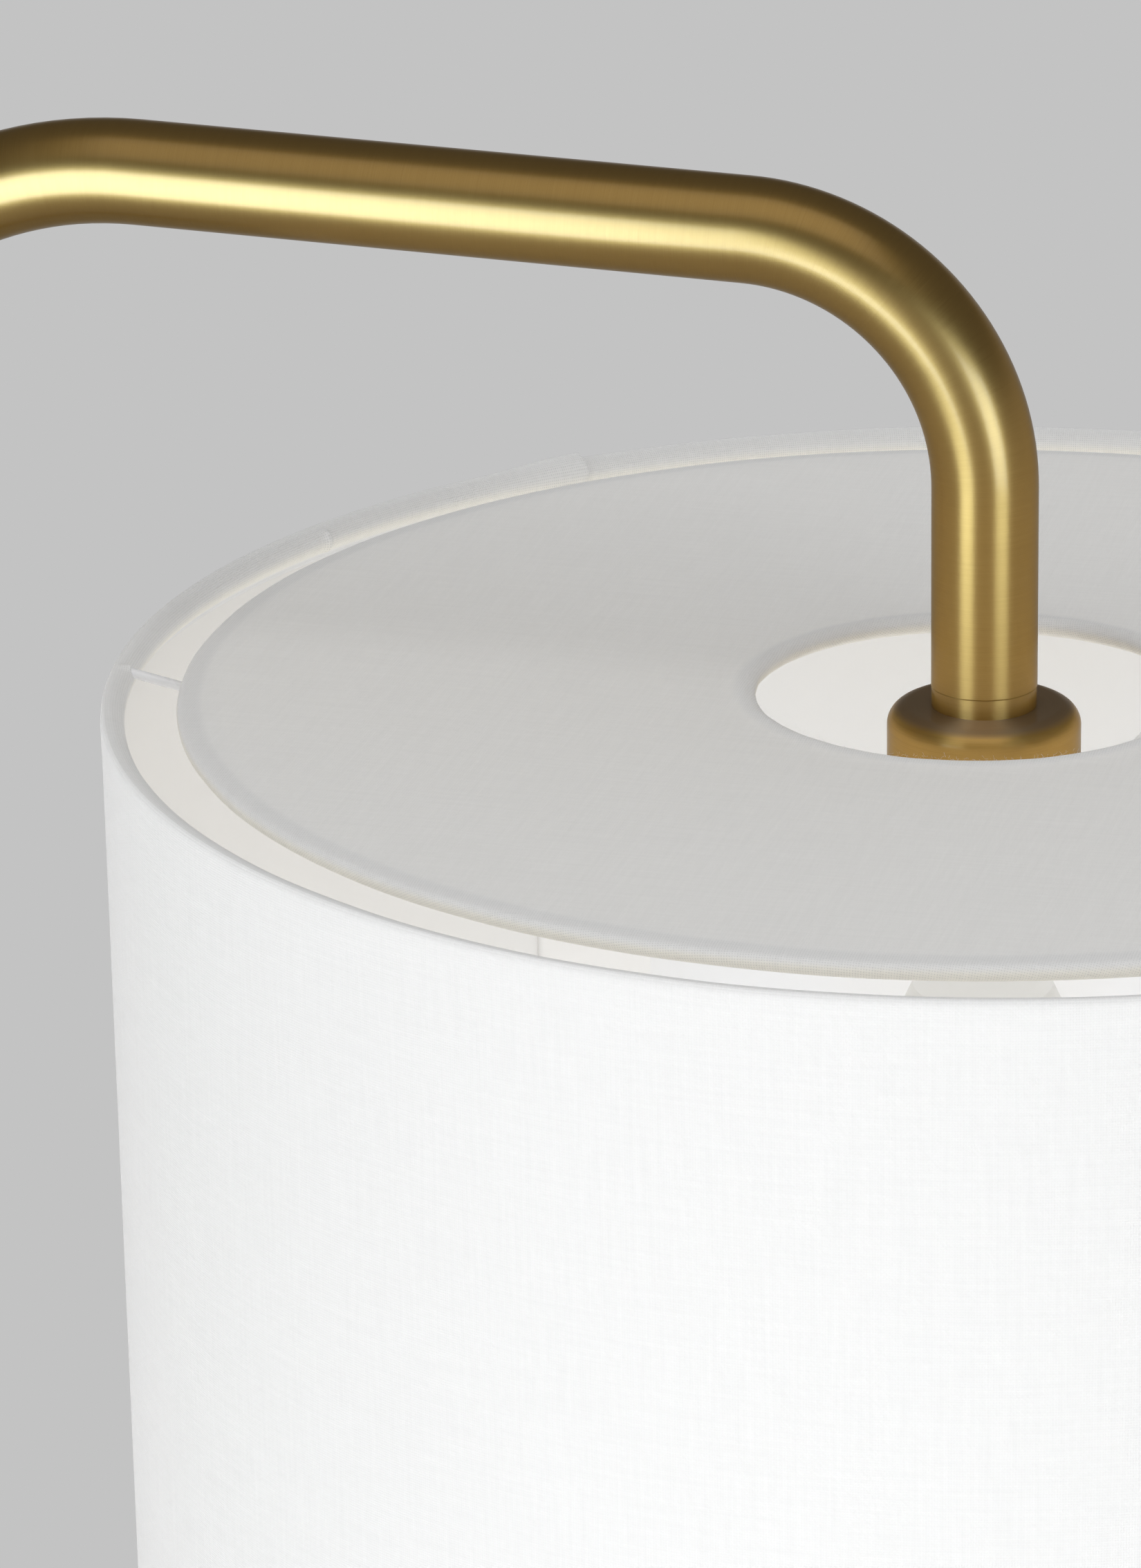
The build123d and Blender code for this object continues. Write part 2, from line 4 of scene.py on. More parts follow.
import bpy
import numpy as np
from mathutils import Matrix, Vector

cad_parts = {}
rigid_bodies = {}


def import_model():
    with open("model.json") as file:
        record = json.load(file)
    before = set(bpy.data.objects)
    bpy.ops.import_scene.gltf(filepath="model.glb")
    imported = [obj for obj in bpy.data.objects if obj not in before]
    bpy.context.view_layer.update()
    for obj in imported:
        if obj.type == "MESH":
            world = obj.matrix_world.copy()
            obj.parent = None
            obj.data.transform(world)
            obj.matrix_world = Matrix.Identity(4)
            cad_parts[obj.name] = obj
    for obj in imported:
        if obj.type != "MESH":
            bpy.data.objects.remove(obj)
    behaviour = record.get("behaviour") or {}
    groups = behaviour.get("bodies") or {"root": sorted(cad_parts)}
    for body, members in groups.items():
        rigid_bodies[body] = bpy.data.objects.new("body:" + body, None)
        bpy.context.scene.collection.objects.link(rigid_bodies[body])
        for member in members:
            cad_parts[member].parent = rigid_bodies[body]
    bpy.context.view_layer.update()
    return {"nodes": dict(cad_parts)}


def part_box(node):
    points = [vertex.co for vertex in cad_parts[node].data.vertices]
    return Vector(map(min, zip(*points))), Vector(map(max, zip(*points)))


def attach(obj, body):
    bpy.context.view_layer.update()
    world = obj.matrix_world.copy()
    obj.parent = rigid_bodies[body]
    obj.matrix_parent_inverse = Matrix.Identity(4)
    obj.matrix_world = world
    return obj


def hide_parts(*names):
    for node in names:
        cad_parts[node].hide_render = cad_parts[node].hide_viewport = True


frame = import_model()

bl_info = {
    "name": "Arc floor lamp",
    "version": (1, 0, 0),
    "blender": (4, 5, 0),
    "location": "3D Viewport > Sidebar > Arc Lamp",
    "description": "Dresses an arc floor lamp: brushed brass, a linen drum shade and its diffuser",
    "category": "Object",
}

MM = 0.001


# ---- what the frame gives ----
def middle_and_half(node):
    """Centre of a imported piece's box, and half its size along each axis."""
    low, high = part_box(node)
    return (low + high) / 2, (high - low) / 2


def ring_and_section(node):
    """Centre, ring radius and section radius of a packed hoop that lies flat."""
    middle, half = middle_and_half(node)
    return middle, half.x - half.z, half.z


RIM = middle_and_half("top_ring_wire")[0]
LOW_RIM = middle_and_half("bottom_ring_wire")[0]
COVER_RADIUS = middle_and_half("shade_cover")[1].x
HEM_RING, HEM_SECTION = ring_and_section("top_hem")[1:]
DIFFUSER, DIFFUSER_RING, DIFFUSER_SECTION = ring_and_section("diffuser_outer_hem")
HOLE, HOLE_RING, HOLE_SECTION = ring_and_section("diffuser_hole_hem")
PANEL_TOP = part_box("diffuser_panel")[1].z
FERRULE_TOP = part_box("ferrule")[1].z
ARM_LOW, ARM_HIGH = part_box("arm_tube")
TUBE_RADIUS = -ARM_LOW.x
SPOKE_SIDE = math.atan2(DIFFUSER.y - RIM.y, DIFFUSER.x - RIM.x)


# ---- settings ----
def setting(kind, **details):
    """A maker of settings of one kind, each from a name, a description and a default."""
    def make(name, description, default):
        return kind(name=name, description=description, default=default, **details)
    return make


length = setting(bpy.props.FloatProperty, unit="LENGTH", precision=5)
turning = setting(bpy.props.FloatProperty, unit="ROTATION")
share = setting(bpy.props.FloatProperty, min=0.0, max=1.0, subtype="FACTOR")
colour = setting(bpy.props.FloatVectorProperty, size=3, min=0.0, max=1.0, subtype="COLOR")


def angle(name, description, degrees):
    return turning(name, description, math.radians(degrees))


class ARCLAMP_PG_brass(bpy.types.PropertyGroup):
    """Satin brass, brushed round every tube and turned part."""
    bright: colour("Bright", "Brass where the brushing is fresh", (0.35, 0.213, 0.058))
    dull: colour("Dull", "Brass in the deeper brush lines", (0.305, 0.182, 0.047))
    # Darker, duller brass painted on the cap's top: painted shade that stands in for its darker
    # reflection.
    painted_top_shade: colour("Brown", "Brass on the cap's top, which is less rubbed", (0.39, 0.26, 0.132))
    rim: colour("Rim", "Tint of the brass where it is seen edge on", (0.50, 0.47, 0.42))
    roughness: share("Roughness", "Roughness between the brush lines", 0.31)
    lacquer: share("Lacquer", "Roughness of the clear lacquer", 0.16)
    line: length("Brush line", "Distance from one brush line to the next", 0.12 * MM)
    line_depth: length("Line depth", "Depth of the brush lines", 0.013 * MM)
    grooves: share("Grooves", "How much rougher the brass is across the brush lines", 0.88)


class ARCLAMP_PG_arm(bpy.types.PropertyGroup):
    """The hooked arm above the pole."""
    tube_radius: length("Tube radius", "Outer radius of the tube", TUBE_RADIUS)
    tube_wall: length("Tube wall", "Thickness of the tube's wall", 1.2 * MM)
    end_chamfer: length("End chamfer", "Chamfer at both ends of the tube", 0.35 * MM)
    pole_bend: length("Pole bend", "Centreline radius of the bend above the pole", 98.2 * MM)
    head_bend: length("Head bend", "Centreline radius of the bend above the shade", 60.1 * MM)
    fall: angle("Fall", "Slope of the arm down towards the shade", 2.58)


class ARCLAMP_PG_linen(bpy.types.PropertyGroup):
    """White linen of the shade and the diffuser."""
    thread: colour("Thread", "Colour of the threads", (0.885, 0.885, 0.88))
    bare: colour("Bare", "Colour of the threads where the weave is open", (0.855, 0.852, 0.845))
    hole: colour("Hole", "Colour in the holes between the threads", (0.50, 0.50, 0.50))
    # Cream, and painted lighter than the threads: painted light on the shaded undersides of the rolls.
    warm: colour("Warm", "Colour of the cloth on the hidden side of a wire", (0.96, 0.935, 0.86))
    top: colour("Top", "Colour of the diffuser's flat top", (0.92, 0.912, 0.893))
    pitch: length("Thread pitch", "Distance from one thread to the next", 0.6 * MM)
    relief: length("Relief", "Height of a thread over its neighbours", 0.12 * MM)


class ARCLAMP_PG_shade(bpy.types.PropertyGroup):
    """The drum shade's linen cover and its two rolled hems."""
    radius: length("Radius", "Outer radius of the drum", COVER_RADIUS)
    cloth: length("Cloth", "Thickness of the linen", 0.55 * MM)
    hem_swell: length("Hem swell", "How far a hem stands proud of the drum", 0.12 * MM)
    seam: angle("Seam", "Direction of the linen's overlap, from +X", 131.9)
    seam_step: length("Seam step", "Step where the linen's outer end lies on the layer below", 1.5 * MM)
    seam_run: angle("Seam run", "Turn over which the doubled cloth falls back", 9.0)
    flap: length("Flap", "How far the hem's inner edge hangs lower beside the overlap", 3.0 * MM)
    flap_run: angle("Flap run", "Turn over which the inner edge hangs lower", 4.2)
    pucker: angle("Pucker", "Direction of the small pucker in the upper hem, from +X", 156.4)
    lap: angle("Lap", "Direction of the lining's inner end, from +X", 136.3)
    lap_run: angle("Lap run", "Turn over which the lining's end lies on its start", 11.0)


class ARCLAMP_PG_stage(bpy.types.PropertyGroup):
    """Floor, studio light and camera."""
    floor: colour("Floor", "Colour of the floor round the base", (0.56, 0.56, 0.56))
    backdrop: colour("Backdrop", "Colour of the floor further off", (0.546, 0.546, 0.546))
    ceiling: colour("Ceiling", "Colour high above the horizon", (0.19, 0.19, 0.19))
    gleam: colour("Gleam", "Tint of the softboxes in metal", (0.48, 0.67, 1.0))
    ambient: share("Ambient", "Level of the light from all round", 0.80)
    zenith: share("Zenith", "Level of the light from straight above", 0.50)
    camera_place: bpy.props.FloatVectorProperty(
        name="Camera place", description="Where the camera stands",
        default=(0.5883, -1.4292, 2.01725), subtype="TRANSLATION")
    camera_turn: bpy.props.FloatVectorProperty(
        name="Camera turn", description="How the camera is turned",
        default=tuple(math.radians(part) for part in (70.336, 0.993, 14.567)), subtype="EULER")
    camera_lens: bpy.props.FloatProperty(
        name="Lens", description="Focal length on a 36 mm sensor, in millimetres", default=147.65)


class ARCLAMP_PG_lamp(bpy.types.PropertyGroup):
    """Everything that can be set."""
    brass: bpy.props.PointerProperty(type=ARCLAMP_PG_brass)
    arm: bpy.props.PointerProperty(type=ARCLAMP_PG_arm)
    linen: bpy.props.PointerProperty(type=ARCLAMP_PG_linen)
    shade: bpy.props.PointerProperty(type=ARCLAMP_PG_shade)
    stage: bpy.props.PointerProperty(type=ARCLAMP_PG_stage)


# ---- node trees ----
def maths(operation, turned=False):
    """A method that works a Math node on its value and any others. Turned, the value comes last."""
    def method(self, *others):
        values = (*others, self) if turned else (self, *others)
        return self.nodes.node("ShaderNodeMath", {"operation": operation}, dict(enumerate(values)))
    return method


class Value:
    """A node's output that Python's operators work on, for maths between nodes."""

    def __init__(self, nodes, socket):
        self.nodes = nodes
        self.socket = socket

    __add__ = __radd__ = maths("ADD")
    __sub__ = maths("SUBTRACT")
    __rsub__ = maths("SUBTRACT", turned=True)
    __mul__ = __rmul__ = maths("MULTIPLY")
    __truediv__ = maths("DIVIDE")
    __abs__ = maths("ABSOLUTE")
    sine = maths("SINE")
    root = maths("SQRT")
    larger = maths("MAXIMUM")
    smaller = maths("MINIMUM")


class Nodes:
    """A node tree, built a node at a time."""

    def __init__(self, tree):
        self.tree = tree

    def found(self, kind):
        """The first node of a kind that the tree has."""
        return next(node for node in self.tree.nodes if node.type == kind)

    def join(self, socket, value):
        """Link a value to a socket, or set what is given on it."""
        if isinstance(value, Value):
            self.tree.links.new(value.socket, socket)
            return
        if socket.type == "RGBA" and len(value) == 3:
            value = (*value, 1.0)
        socket.default_value = value

    def node(self, kind, settings=None, inputs=None, output=0):
        """One output of a new node of a kind, with its settings and then its sockets set."""
        made = self.tree.nodes.new(kind)
        for name, value in (settings or {}).items():
            setattr(made, name, value)
        for key, value in (inputs or {}).items():
            self.join(made.inputs[key], value)
        return Value(self, made.outputs[output])

    def point(self, x, y, z):
        return self.node("ShaderNodeCombineXYZ", inputs={0: x, 1: y, 2: z})

    def parts(self, whole, count=3):
        """The parts of a point along X, Y and Z."""
        return [self.node("ShaderNodeSeparateXYZ", inputs={0: whole}, output=n) for n in range(count)]

    def coordinates(self, output="Object"):
        return self.parts(self.node("ShaderNodeTexCoord", output=output))

    def cloth_lengths(self):
        """Distances along and across the piece's surface, from its own UV map in metres."""
        return self.parts(self.node("ShaderNodeUVMap", {"uv_map": "UVMap"}), 2)

    def attribute(self, name):
        return self.node("ShaderNodeAttribute", {"attribute_name": name}, output="Fac")

    def noise(self, x, y, z, detail=2.0):
        """Noise from 0 to 1 with a period of one unit along each of its coordinates."""
        return self.node("ShaderNodeTexNoise", inputs={
            "Vector": self.point(x, y, z), "Scale": 1.0, "Detail": detail})

    def blend(self, share, first, second):
        """Colour between two, by share."""
        return self.node("ShaderNodeMix", {"data_type": "RGBA"}, {0: share, 6: first, 7: second}, 2)

    def mix(self, share, first, second):
        """A mix of two shaders, by share."""
        return self.node("ShaderNodeMixShader", inputs={0: share, 1: first, 2: second})

    def ramp(self, value, low, high):
        """0 up to the low place, 1 from the high one, and even between."""
        ramp = self.node("ShaderNodeValToRGB", inputs={0: value})
        for stop, place in zip(ramp.socket.node.color_ramp.elements, (low, high)):
            stop.position = place
        return ramp

    def swell(self, value, low, high, first=0.0, last=1.0):
        """A value carried smoothly from a first level to a last one between two places."""
        return self.node("ShaderNodeMapRange", {"interpolation_type": "SMOOTHSTEP"},
                         {0: value, 1: low, 2: high, 3: first, 4: last})

    def relief(self, height, depth):
        """Normal of a relief that is depth metres high where height is 1."""
        return self.node("ShaderNodeBump", inputs={"Height": height, "Distance": depth})

    def seen(self):
        """1 for rays that show the surroundings: straight to the camera, in gloss or through glass."""
        camera, glossy, clear = (
            self.node("ShaderNodeLightPath", output=title)
            for title in ("Is Camera Ray", "Is Glossy Ray", "Is Transmission Ray"))
        return camera.larger(glossy).larger(clear)


# ---- materials ----
class Finish(Nodes):
    """A material and the nodes that make it."""

    def __init__(self, name):
        self.material = bpy.data.materials.new(name)
        self.material.use_nodes = True
        super().__init__(self.material.node_tree)
        self.shader = self.found("BSDF_PRINCIPLED")
        self.look = Value(self, self.shader.outputs[0])

    def show(self, shader):
        """Let another shader, or a mix of them, be what the material shows."""
        self.join(self.found("OUTPUT_MATERIAL").inputs[0], shader)
        if not self.shader.outputs[0].links:
            self.tree.nodes.remove(self.shader)

    def set(self, **sockets):
        """Set the shader's own sockets; an underscore stands for a space."""
        for name, value in sockets.items():
            self.join(self.shader.inputs[name.replace("_", " ")], value)


# How many times lighter the arm's two legs are than its bends, a painted highlight, and how much softer
# they are.
LEG_PAINTED_HIGHLIGHT, LEG_SOFTER = 1.62, 0.075


def brushed_brass(name, brass, lines, softer=0.0, brushed=1.0, painted_light_scale=1.0, grooved=True,
                  painted_top_shade_share=None):
    """Brass with fine lines: lines gives the length across them and the length along them.

    Where grooved, it is rougher across lines that run round an upright axis. A function gives the
    share of such brass over the piece, which is softer there and painted lighter, a painted
    highlight. browned gives the share of darker, duller brass, painted shade. softer adds to the
    settings' roughness, brushed multiplies the depth of the lines, and lift multiplies the tones,
    painting light or shade into the whole piece.
    """
    finish = Finish(name)
    along, around = lines(finish)
    fine = finish.noise(along * (1.0 / brass.line), around * 90.0, 0.0, 1.0)
    broad = finish.noise(along * (0.12 / brass.line), around * 30.0, 7.0)
    cloud = finish.noise(along * 22.0, around * 22.0, 3.0)
    wear = finish.ramp(fine * 0.55 + broad * 0.25 + cloud * 0.2, 0.30, 0.66)
    # The tones are scaled by lift: light or shade painted into the piece's colour.
    tones = [tuple(part * painted_light_scale for part in tone) for tone in (brass.dull, brass.bright)]
    body = finish.blend(wear, *tones)
    rough = fine * 0.10 + cloud * 0.06 + (brass.roughness + softer - 0.08)
    # Painted shade: darker, duller brass over the browned share.
    if painted_top_shade_share:
        painted_top_shade = painted_top_shade_share(finish)
        body = finish.blend(painted_top_shade, body, brass.painted_top_shade)
        rough = rough + painted_top_shade * 0.22
    sockets = {
        "Base Color": body, "Metallic": 1.0, "Roughness": rough, "Specular Tint": brass.rim,
        "Normal": finish.relief(fine, brass.line_depth * brushed),
        "Coat Weight": 0.3, "Coat Roughness": brass.lacquer}
    grooves = {"Anisotropic": brass.grooves, "Anisotropic Rotation": 0.25}
    if callable(grooved):
        even = finish.node("ShaderNodeBsdfPrincipled", inputs=sockets)
        # The legs' tones are painted lighter: a painted highlight.
        tones = [tuple(part * LEG_PAINTED_HIGHLIGHT for part in tone) for tone in tones]
        sockets["Base Color"] = finish.blend(wear, *tones)
        sockets["Roughness"] = rough + LEG_SOFTER
        grooved_highlight_part = finish.node("ShaderNodeBsdfPrincipled", inputs={**sockets, **grooves})
        finish.show(finish.mix(grooved(finish), even, grooved_highlight_part))
    else:
        finish.set(**sockets, **(grooves if grooved else {}))
    return finish.material


def about_axis(x, y):
    """Lines that run round an upright axis, as a lathe leaves them."""
    def lines(finish):
        east, north, height = finish.coordinates()
        east, north = east - x, north - y
        return height + (east * east + north * north).root(), east * 0.7 + north
    return lines


def plain_finish(name, first, second, roughness, metallic=0.0, grain=400.0, depth=0.01 * MM, **sockets):
    """A moulded, cast or plated surface: slight mottling, a fine grain and uneven gloss."""
    finish = Finish(name)
    place = finish.coordinates()
    mottle = finish.noise(*(part * 60.0 for part in place), 3.0)
    fine = finish.noise(*(part * grain for part in place))
    finish.set(
        Base_Color=finish.blend(mottle * 0.7 + fine * 0.3, first, second),
        Metallic=metallic,
        Roughness=mottle * 0.12 + fine * 0.06 + (roughness - 0.09),
        Normal=finish.relief(fine, depth),
        **sockets,
    )
    return finish.material


def styrene_finish():
    """White styrene sheet, faintly clouded."""
    finish = Finish("styrene")
    place = finish.coordinates()
    cloud = finish.noise(*(part * 14.0 for part in place))
    fine = finish.noise(*(part * 500.0 for part in place), 1.0)
    finish.set(
        Base_Color=finish.blend(cloud, (0.845, 0.832, 0.81), (0.865, 0.855, 0.835)),
        Roughness=cloud * 0.1 + 0.4,
        Normal=finish.relief(fine, 0.003 * MM),
    )
    return finish.material


def weave(finish, pitch):
    """Height, share of hole and streaks of a plain weave, from the piece's own UV map in metres."""
    u, v = finish.cloth_lengths()
    drift_u = finish.noise(u * 45.0, v * 320.0, 0.0) - 0.5
    drift_v = finish.noise(u * 320.0, v * 45.0, 5.0) - 0.5
    warp = (u * (math.pi / pitch) + drift_v * 1.1).sine()
    weft = (v * (math.pi / pitch) + drift_u * 1.1).sine()
    over = warp * weft * 0.5 + 0.5
    slub_u = finish.noise(u * (0.55 / pitch), v * 38.0, 11.0)
    slub_v = finish.noise(u * 38.0, v * (0.55 / pitch), 17.0)
    loose = finish.noise(u * (1.1 / pitch), v * (1.1 / pitch), 29.0, 1.0)
    height = (abs(warp) * (over * 0.55 + slub_u * 0.6)).larger(
        abs(weft) * ((1 - over) * 0.55 + slub_v * 0.6))
    hole = (1 - abs(warp)) * (1 - abs(weft)) * (loose * 1.8).smaller(1.0)
    streaks = slub_u * 0.5 + slub_v * 0.5
    return height, hole, streaks


def linen_finish(name, linen, hole_share, relief_share=1.0):
    """White linen that lets a little light through.

    Attributes say where the weave is open, where the cloth is cream and painted lighter against its
    shade, or where it is flat and pressed.
    """
    finish = Finish(name)
    height, hole, streaks = weave(finish, linen.pitch)
    opened, cream_and_painted_light, flat = (finish.attribute(title) for title in ("open", "warm", "flat"))
    body = linen.thread
    for share, tone in ((opened, linen.bare), (cream_and_painted_light, linen.warm), (flat, linen.top)):
        body = finish.blend(share, body, tone)
    dark = finish.ramp(hole, 0.10, 0.75) * (opened * 0.55 + hole_share)
    tone = finish.ramp(streaks, 0.35, 0.65)
    finish.set(
        Base_Color=finish.blend(dark + (1 - tone) * 0.09, body, linen.hole),
        Roughness=0.9,
        Sheen_Weight=0.06,
        Sheen_Roughness=0.5,
        Specular_IOR_Level=0.2,
        Normal=finish.relief(height, linen.relief * relief_share),
    )
    through = finish.node("ShaderNodeBsdfTranslucent", inputs={"Color": linen.thread})
    finish.show(finish.mix(0.12, finish.look, through))
    return finish.material


# ---- mesh helpers ----
def new_piece(name, data):
    piece = bpy.data.objects.new(name, data)
    bpy.context.scene.collection.objects.link(piece)
    return piece


def finish_piece(piece, material, slot, body, *nodes):
    """Give a piece its material and say what it rides on and stands for."""
    piece.data.materials.clear()
    piece.data.materials.append(material)
    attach(piece, body)
    if nodes:
        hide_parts(*nodes)


def turned_grid(name, places, lengths, hoop=True, values=None):
    """A closed section carried round an axis as a mesh with a UV map in metres.

    places[turn, row] are points in metres; the rows close on each other. A hoop's turns close
    too, and anything else gets its two ends capped. lengths[turn, row] are each point's lengths
    along the cloth, and may hold one more turn and row, for where they close. values are
    per-point attributes.
    """
    turns, rows = places.shape[:2]
    turn, row = (part.ravel() for part in np.meshgrid(
        np.arange(turns if hoop else turns - 1), np.arange(rows), indexing="ij"))
    corners = [(turn, row), (turn + 1, row), (turn + 1, row + 1), (turn, row + 1)]
    if not hoop:
        near = np.arange(rows // 2 - 1)
        far = rows - 2 - near
        start, stop = np.zeros_like(near), np.full_like(near, turns - 1)
        caps = [(near, near + 1), (near + 1, near), (far, far + 1), (far + 1, far)]
        corners = [(np.concatenate([t, start, stop]), np.concatenate([r, *cap]))
                   for (t, r), cap in zip(corners, caps)]
    faces = np.stack([(t % turns) * rows + r % rows for t, r in corners], 1)
    mesh = bpy.data.meshes.new(name)
    mesh.from_pydata(places.reshape(-1, 3), [], faces, shade_flat=False)
    most_turns, most_rows = lengths.shape[:2]
    uv = np.stack([lengths[t % most_turns, r % most_rows] for t, r in corners], 1)
    mesh.uv_layers.new(name="UVMap").data.foreach_set("uv", uv.astype(np.float32).ravel())
    for key, value in (values or {}).items():
        each = np.broadcast_to(value, (turns, rows)).astype(np.float32)
        mesh.attributes.new(key, "FLOAT", "POINT").data.foreach_set("value", each.ravel())
    mesh.validate()
    return new_piece(name, mesh)


def length_grid(along, across):
    """The pair of lengths at every crossing of a cloth's turns and rows."""
    return np.stack(np.meshgrid(along, across, indexing="ij"), 2)


def smooth_line(points, steps):
    """A Catmull-Rom line through points, with as many steps from each to the next."""
    points = np.asarray(points, float)
    padded = np.vstack([2 * points[0] - points[1], points, 2 * points[-1] - points[-2]])
    line = []
    for a, b, c, d in zip(padded, padded[1:], padded[2:], padded[3:]):
        for t in np.arange(steps) / steps:
            line.append(0.5 * (2 * b + (c - a) * t + (2 * a - 5 * b + 4 * c - d) * t ** 2
                               + (3 * b - a - 3 * c + d) * t ** 3))
    return np.array([*line, points[-1]])


def sideways(line):
    """Directions square to a line at each of its points."""
    along = np.gradient(line, axis=0)
    along /= np.maximum(np.linalg.norm(along, axis=1, keepdims=True), 1e-9)
    return np.stack([along[:, 1], -along[:, 0]], 1)


def walled(line, wall):
    """A closed section from an open line: the line itself, then back along its inner side."""
    return np.vstack([line, (line - sideways(line) * wall)[::-1]])


def running_length(line):
    """Distance from the line's start to each of its points."""
    return np.concatenate([[0.0], np.cumsum(np.linalg.norm(np.diff(line, axis=0), axis=1))])


def eased(value, start, stop):
    """0 on the near side of start, 1 on the far side of stop, and smooth between."""
    value = np.clip((value - start) / (stop - start), 0.0, 1.0)
    return value * value * (3 - 2 * value)


def past(turns, place):
    """How far each turn is past a place, from half a turn before it to half a turn after."""
    return (turns - place + math.pi) % (2 * math.pi) - math.pi


def bump(turns, place, degrees):
    """A narrow rise to 1 at one place round a ring."""
    return np.exp(-(past(turns, place) / math.radians(degrees)) ** 2)


def ripple(turns, seed, waves, size):
    """Uneven waves round a ring, the same each time."""
    draw = np.random.default_rng(seed)
    total = np.zeros_like(turns)
    for count in waves:
        total += np.sin(count * turns + draw.uniform(0, 2 * math.pi)) * draw.uniform(0.5, 1.0)
    return total * size / len(waves)


def about(centre, turns, radius, height):
    """Points round an upright axis, from their turns, radii and heights over its centre."""
    return np.stack(np.broadcast_arrays(
        centre.x + radius * np.cos(turns)[:, None],
        centre.y + radius * np.sin(turns)[:, None], centre.z + height), 2)


def dense_turns(count, *special):
    """Angles all round, with more of them close to each special one."""
    turns = [np.arange(count) * 2 * math.pi / count]
    near = np.radians([0.0, 0.06, 0.14, 0.3, 0.5, 0.75])
    for place in special:
        turns += [place + near, place - near[1:]]
    return np.unique(np.round(np.concatenate(turns) % (2 * math.pi), 6))


# ---- geometry nodes ----
class Tree(Nodes):
    """A geometry node tree whose inputs are named sizes and a material."""

    def __init__(self, name, sizes):
        super().__init__(bpy.data.node_groups.new(name, "GeometryNodeTree"))
        self.sizes = sizes
        self.ids = {}
        self.socket("Geometry", "Geometry")
        for title, value in sizes.items():
            kind = "Int" if isinstance(value, int) else "Float"
            self.socket(title, kind).default_value = value
        self.socket("Material", "Material")
        self.tree.interface.new_socket("Geometry", in_out="OUTPUT", socket_type="NodeSocketGeometry")
        self.inputs = self.tree.nodes.new("NodeGroupInput")

    def socket(self, title, kind):
        made = self.tree.interface.new_socket(title, in_out="INPUT", socket_type="NodeSocket" + kind)
        self.ids[title] = made.identifier
        return made

    def given(self, title):
        return Value(self, self.inputs.outputs[title])

    def finish(self, geometry):
        """End in real geometry in the given material."""
        real = self.node("GeometryNodeRealizeInstances", inputs={0: geometry})
        painted = self.node("GeometryNodeSetMaterial", inputs={
            "Geometry": real, "Material": self.given("Material")})
        self.join(self.tree.nodes.new("NodeGroupOutput").inputs[0], painted)
        return self


def evaluated(piece):
    """A new mesh of what a piece's modifiers make."""
    seen = piece.evaluated_get(bpy.context.evaluated_depsgraph_get())
    return bpy.data.meshes.new_from_object(seen)


def grown(name, source, tree, material):
    """Run a tree on an object's data and keep what it makes as a plain mesh."""
    holder = new_piece(name + "_path", source)
    modifier = holder.modifiers.new("Make", "NODES")
    modifier.node_group = tree.tree
    for title, value in {**tree.sizes, "Material": material}.items():
        modifier[tree.ids[title]] = value
    mesh = evaluated(holder)
    mesh.name = name
    bpy.data.objects.remove(holder)
    if not mesh.polygons:
        raise RuntimeError(f"{name} came out empty")
    return new_piece(name, mesh)


def polyline(name, points):
    """Curve data with one open spline of straight runs."""
    curve = bpy.data.curves.new(name, "CURVE")
    curve.dimensions = "3D"
    spline = curve.splines.new("POLY")
    spline.points.add(len(points) - 1)
    for place, point in zip(points, spline.points):
        point.co = (*place, 1.0)
    return curve


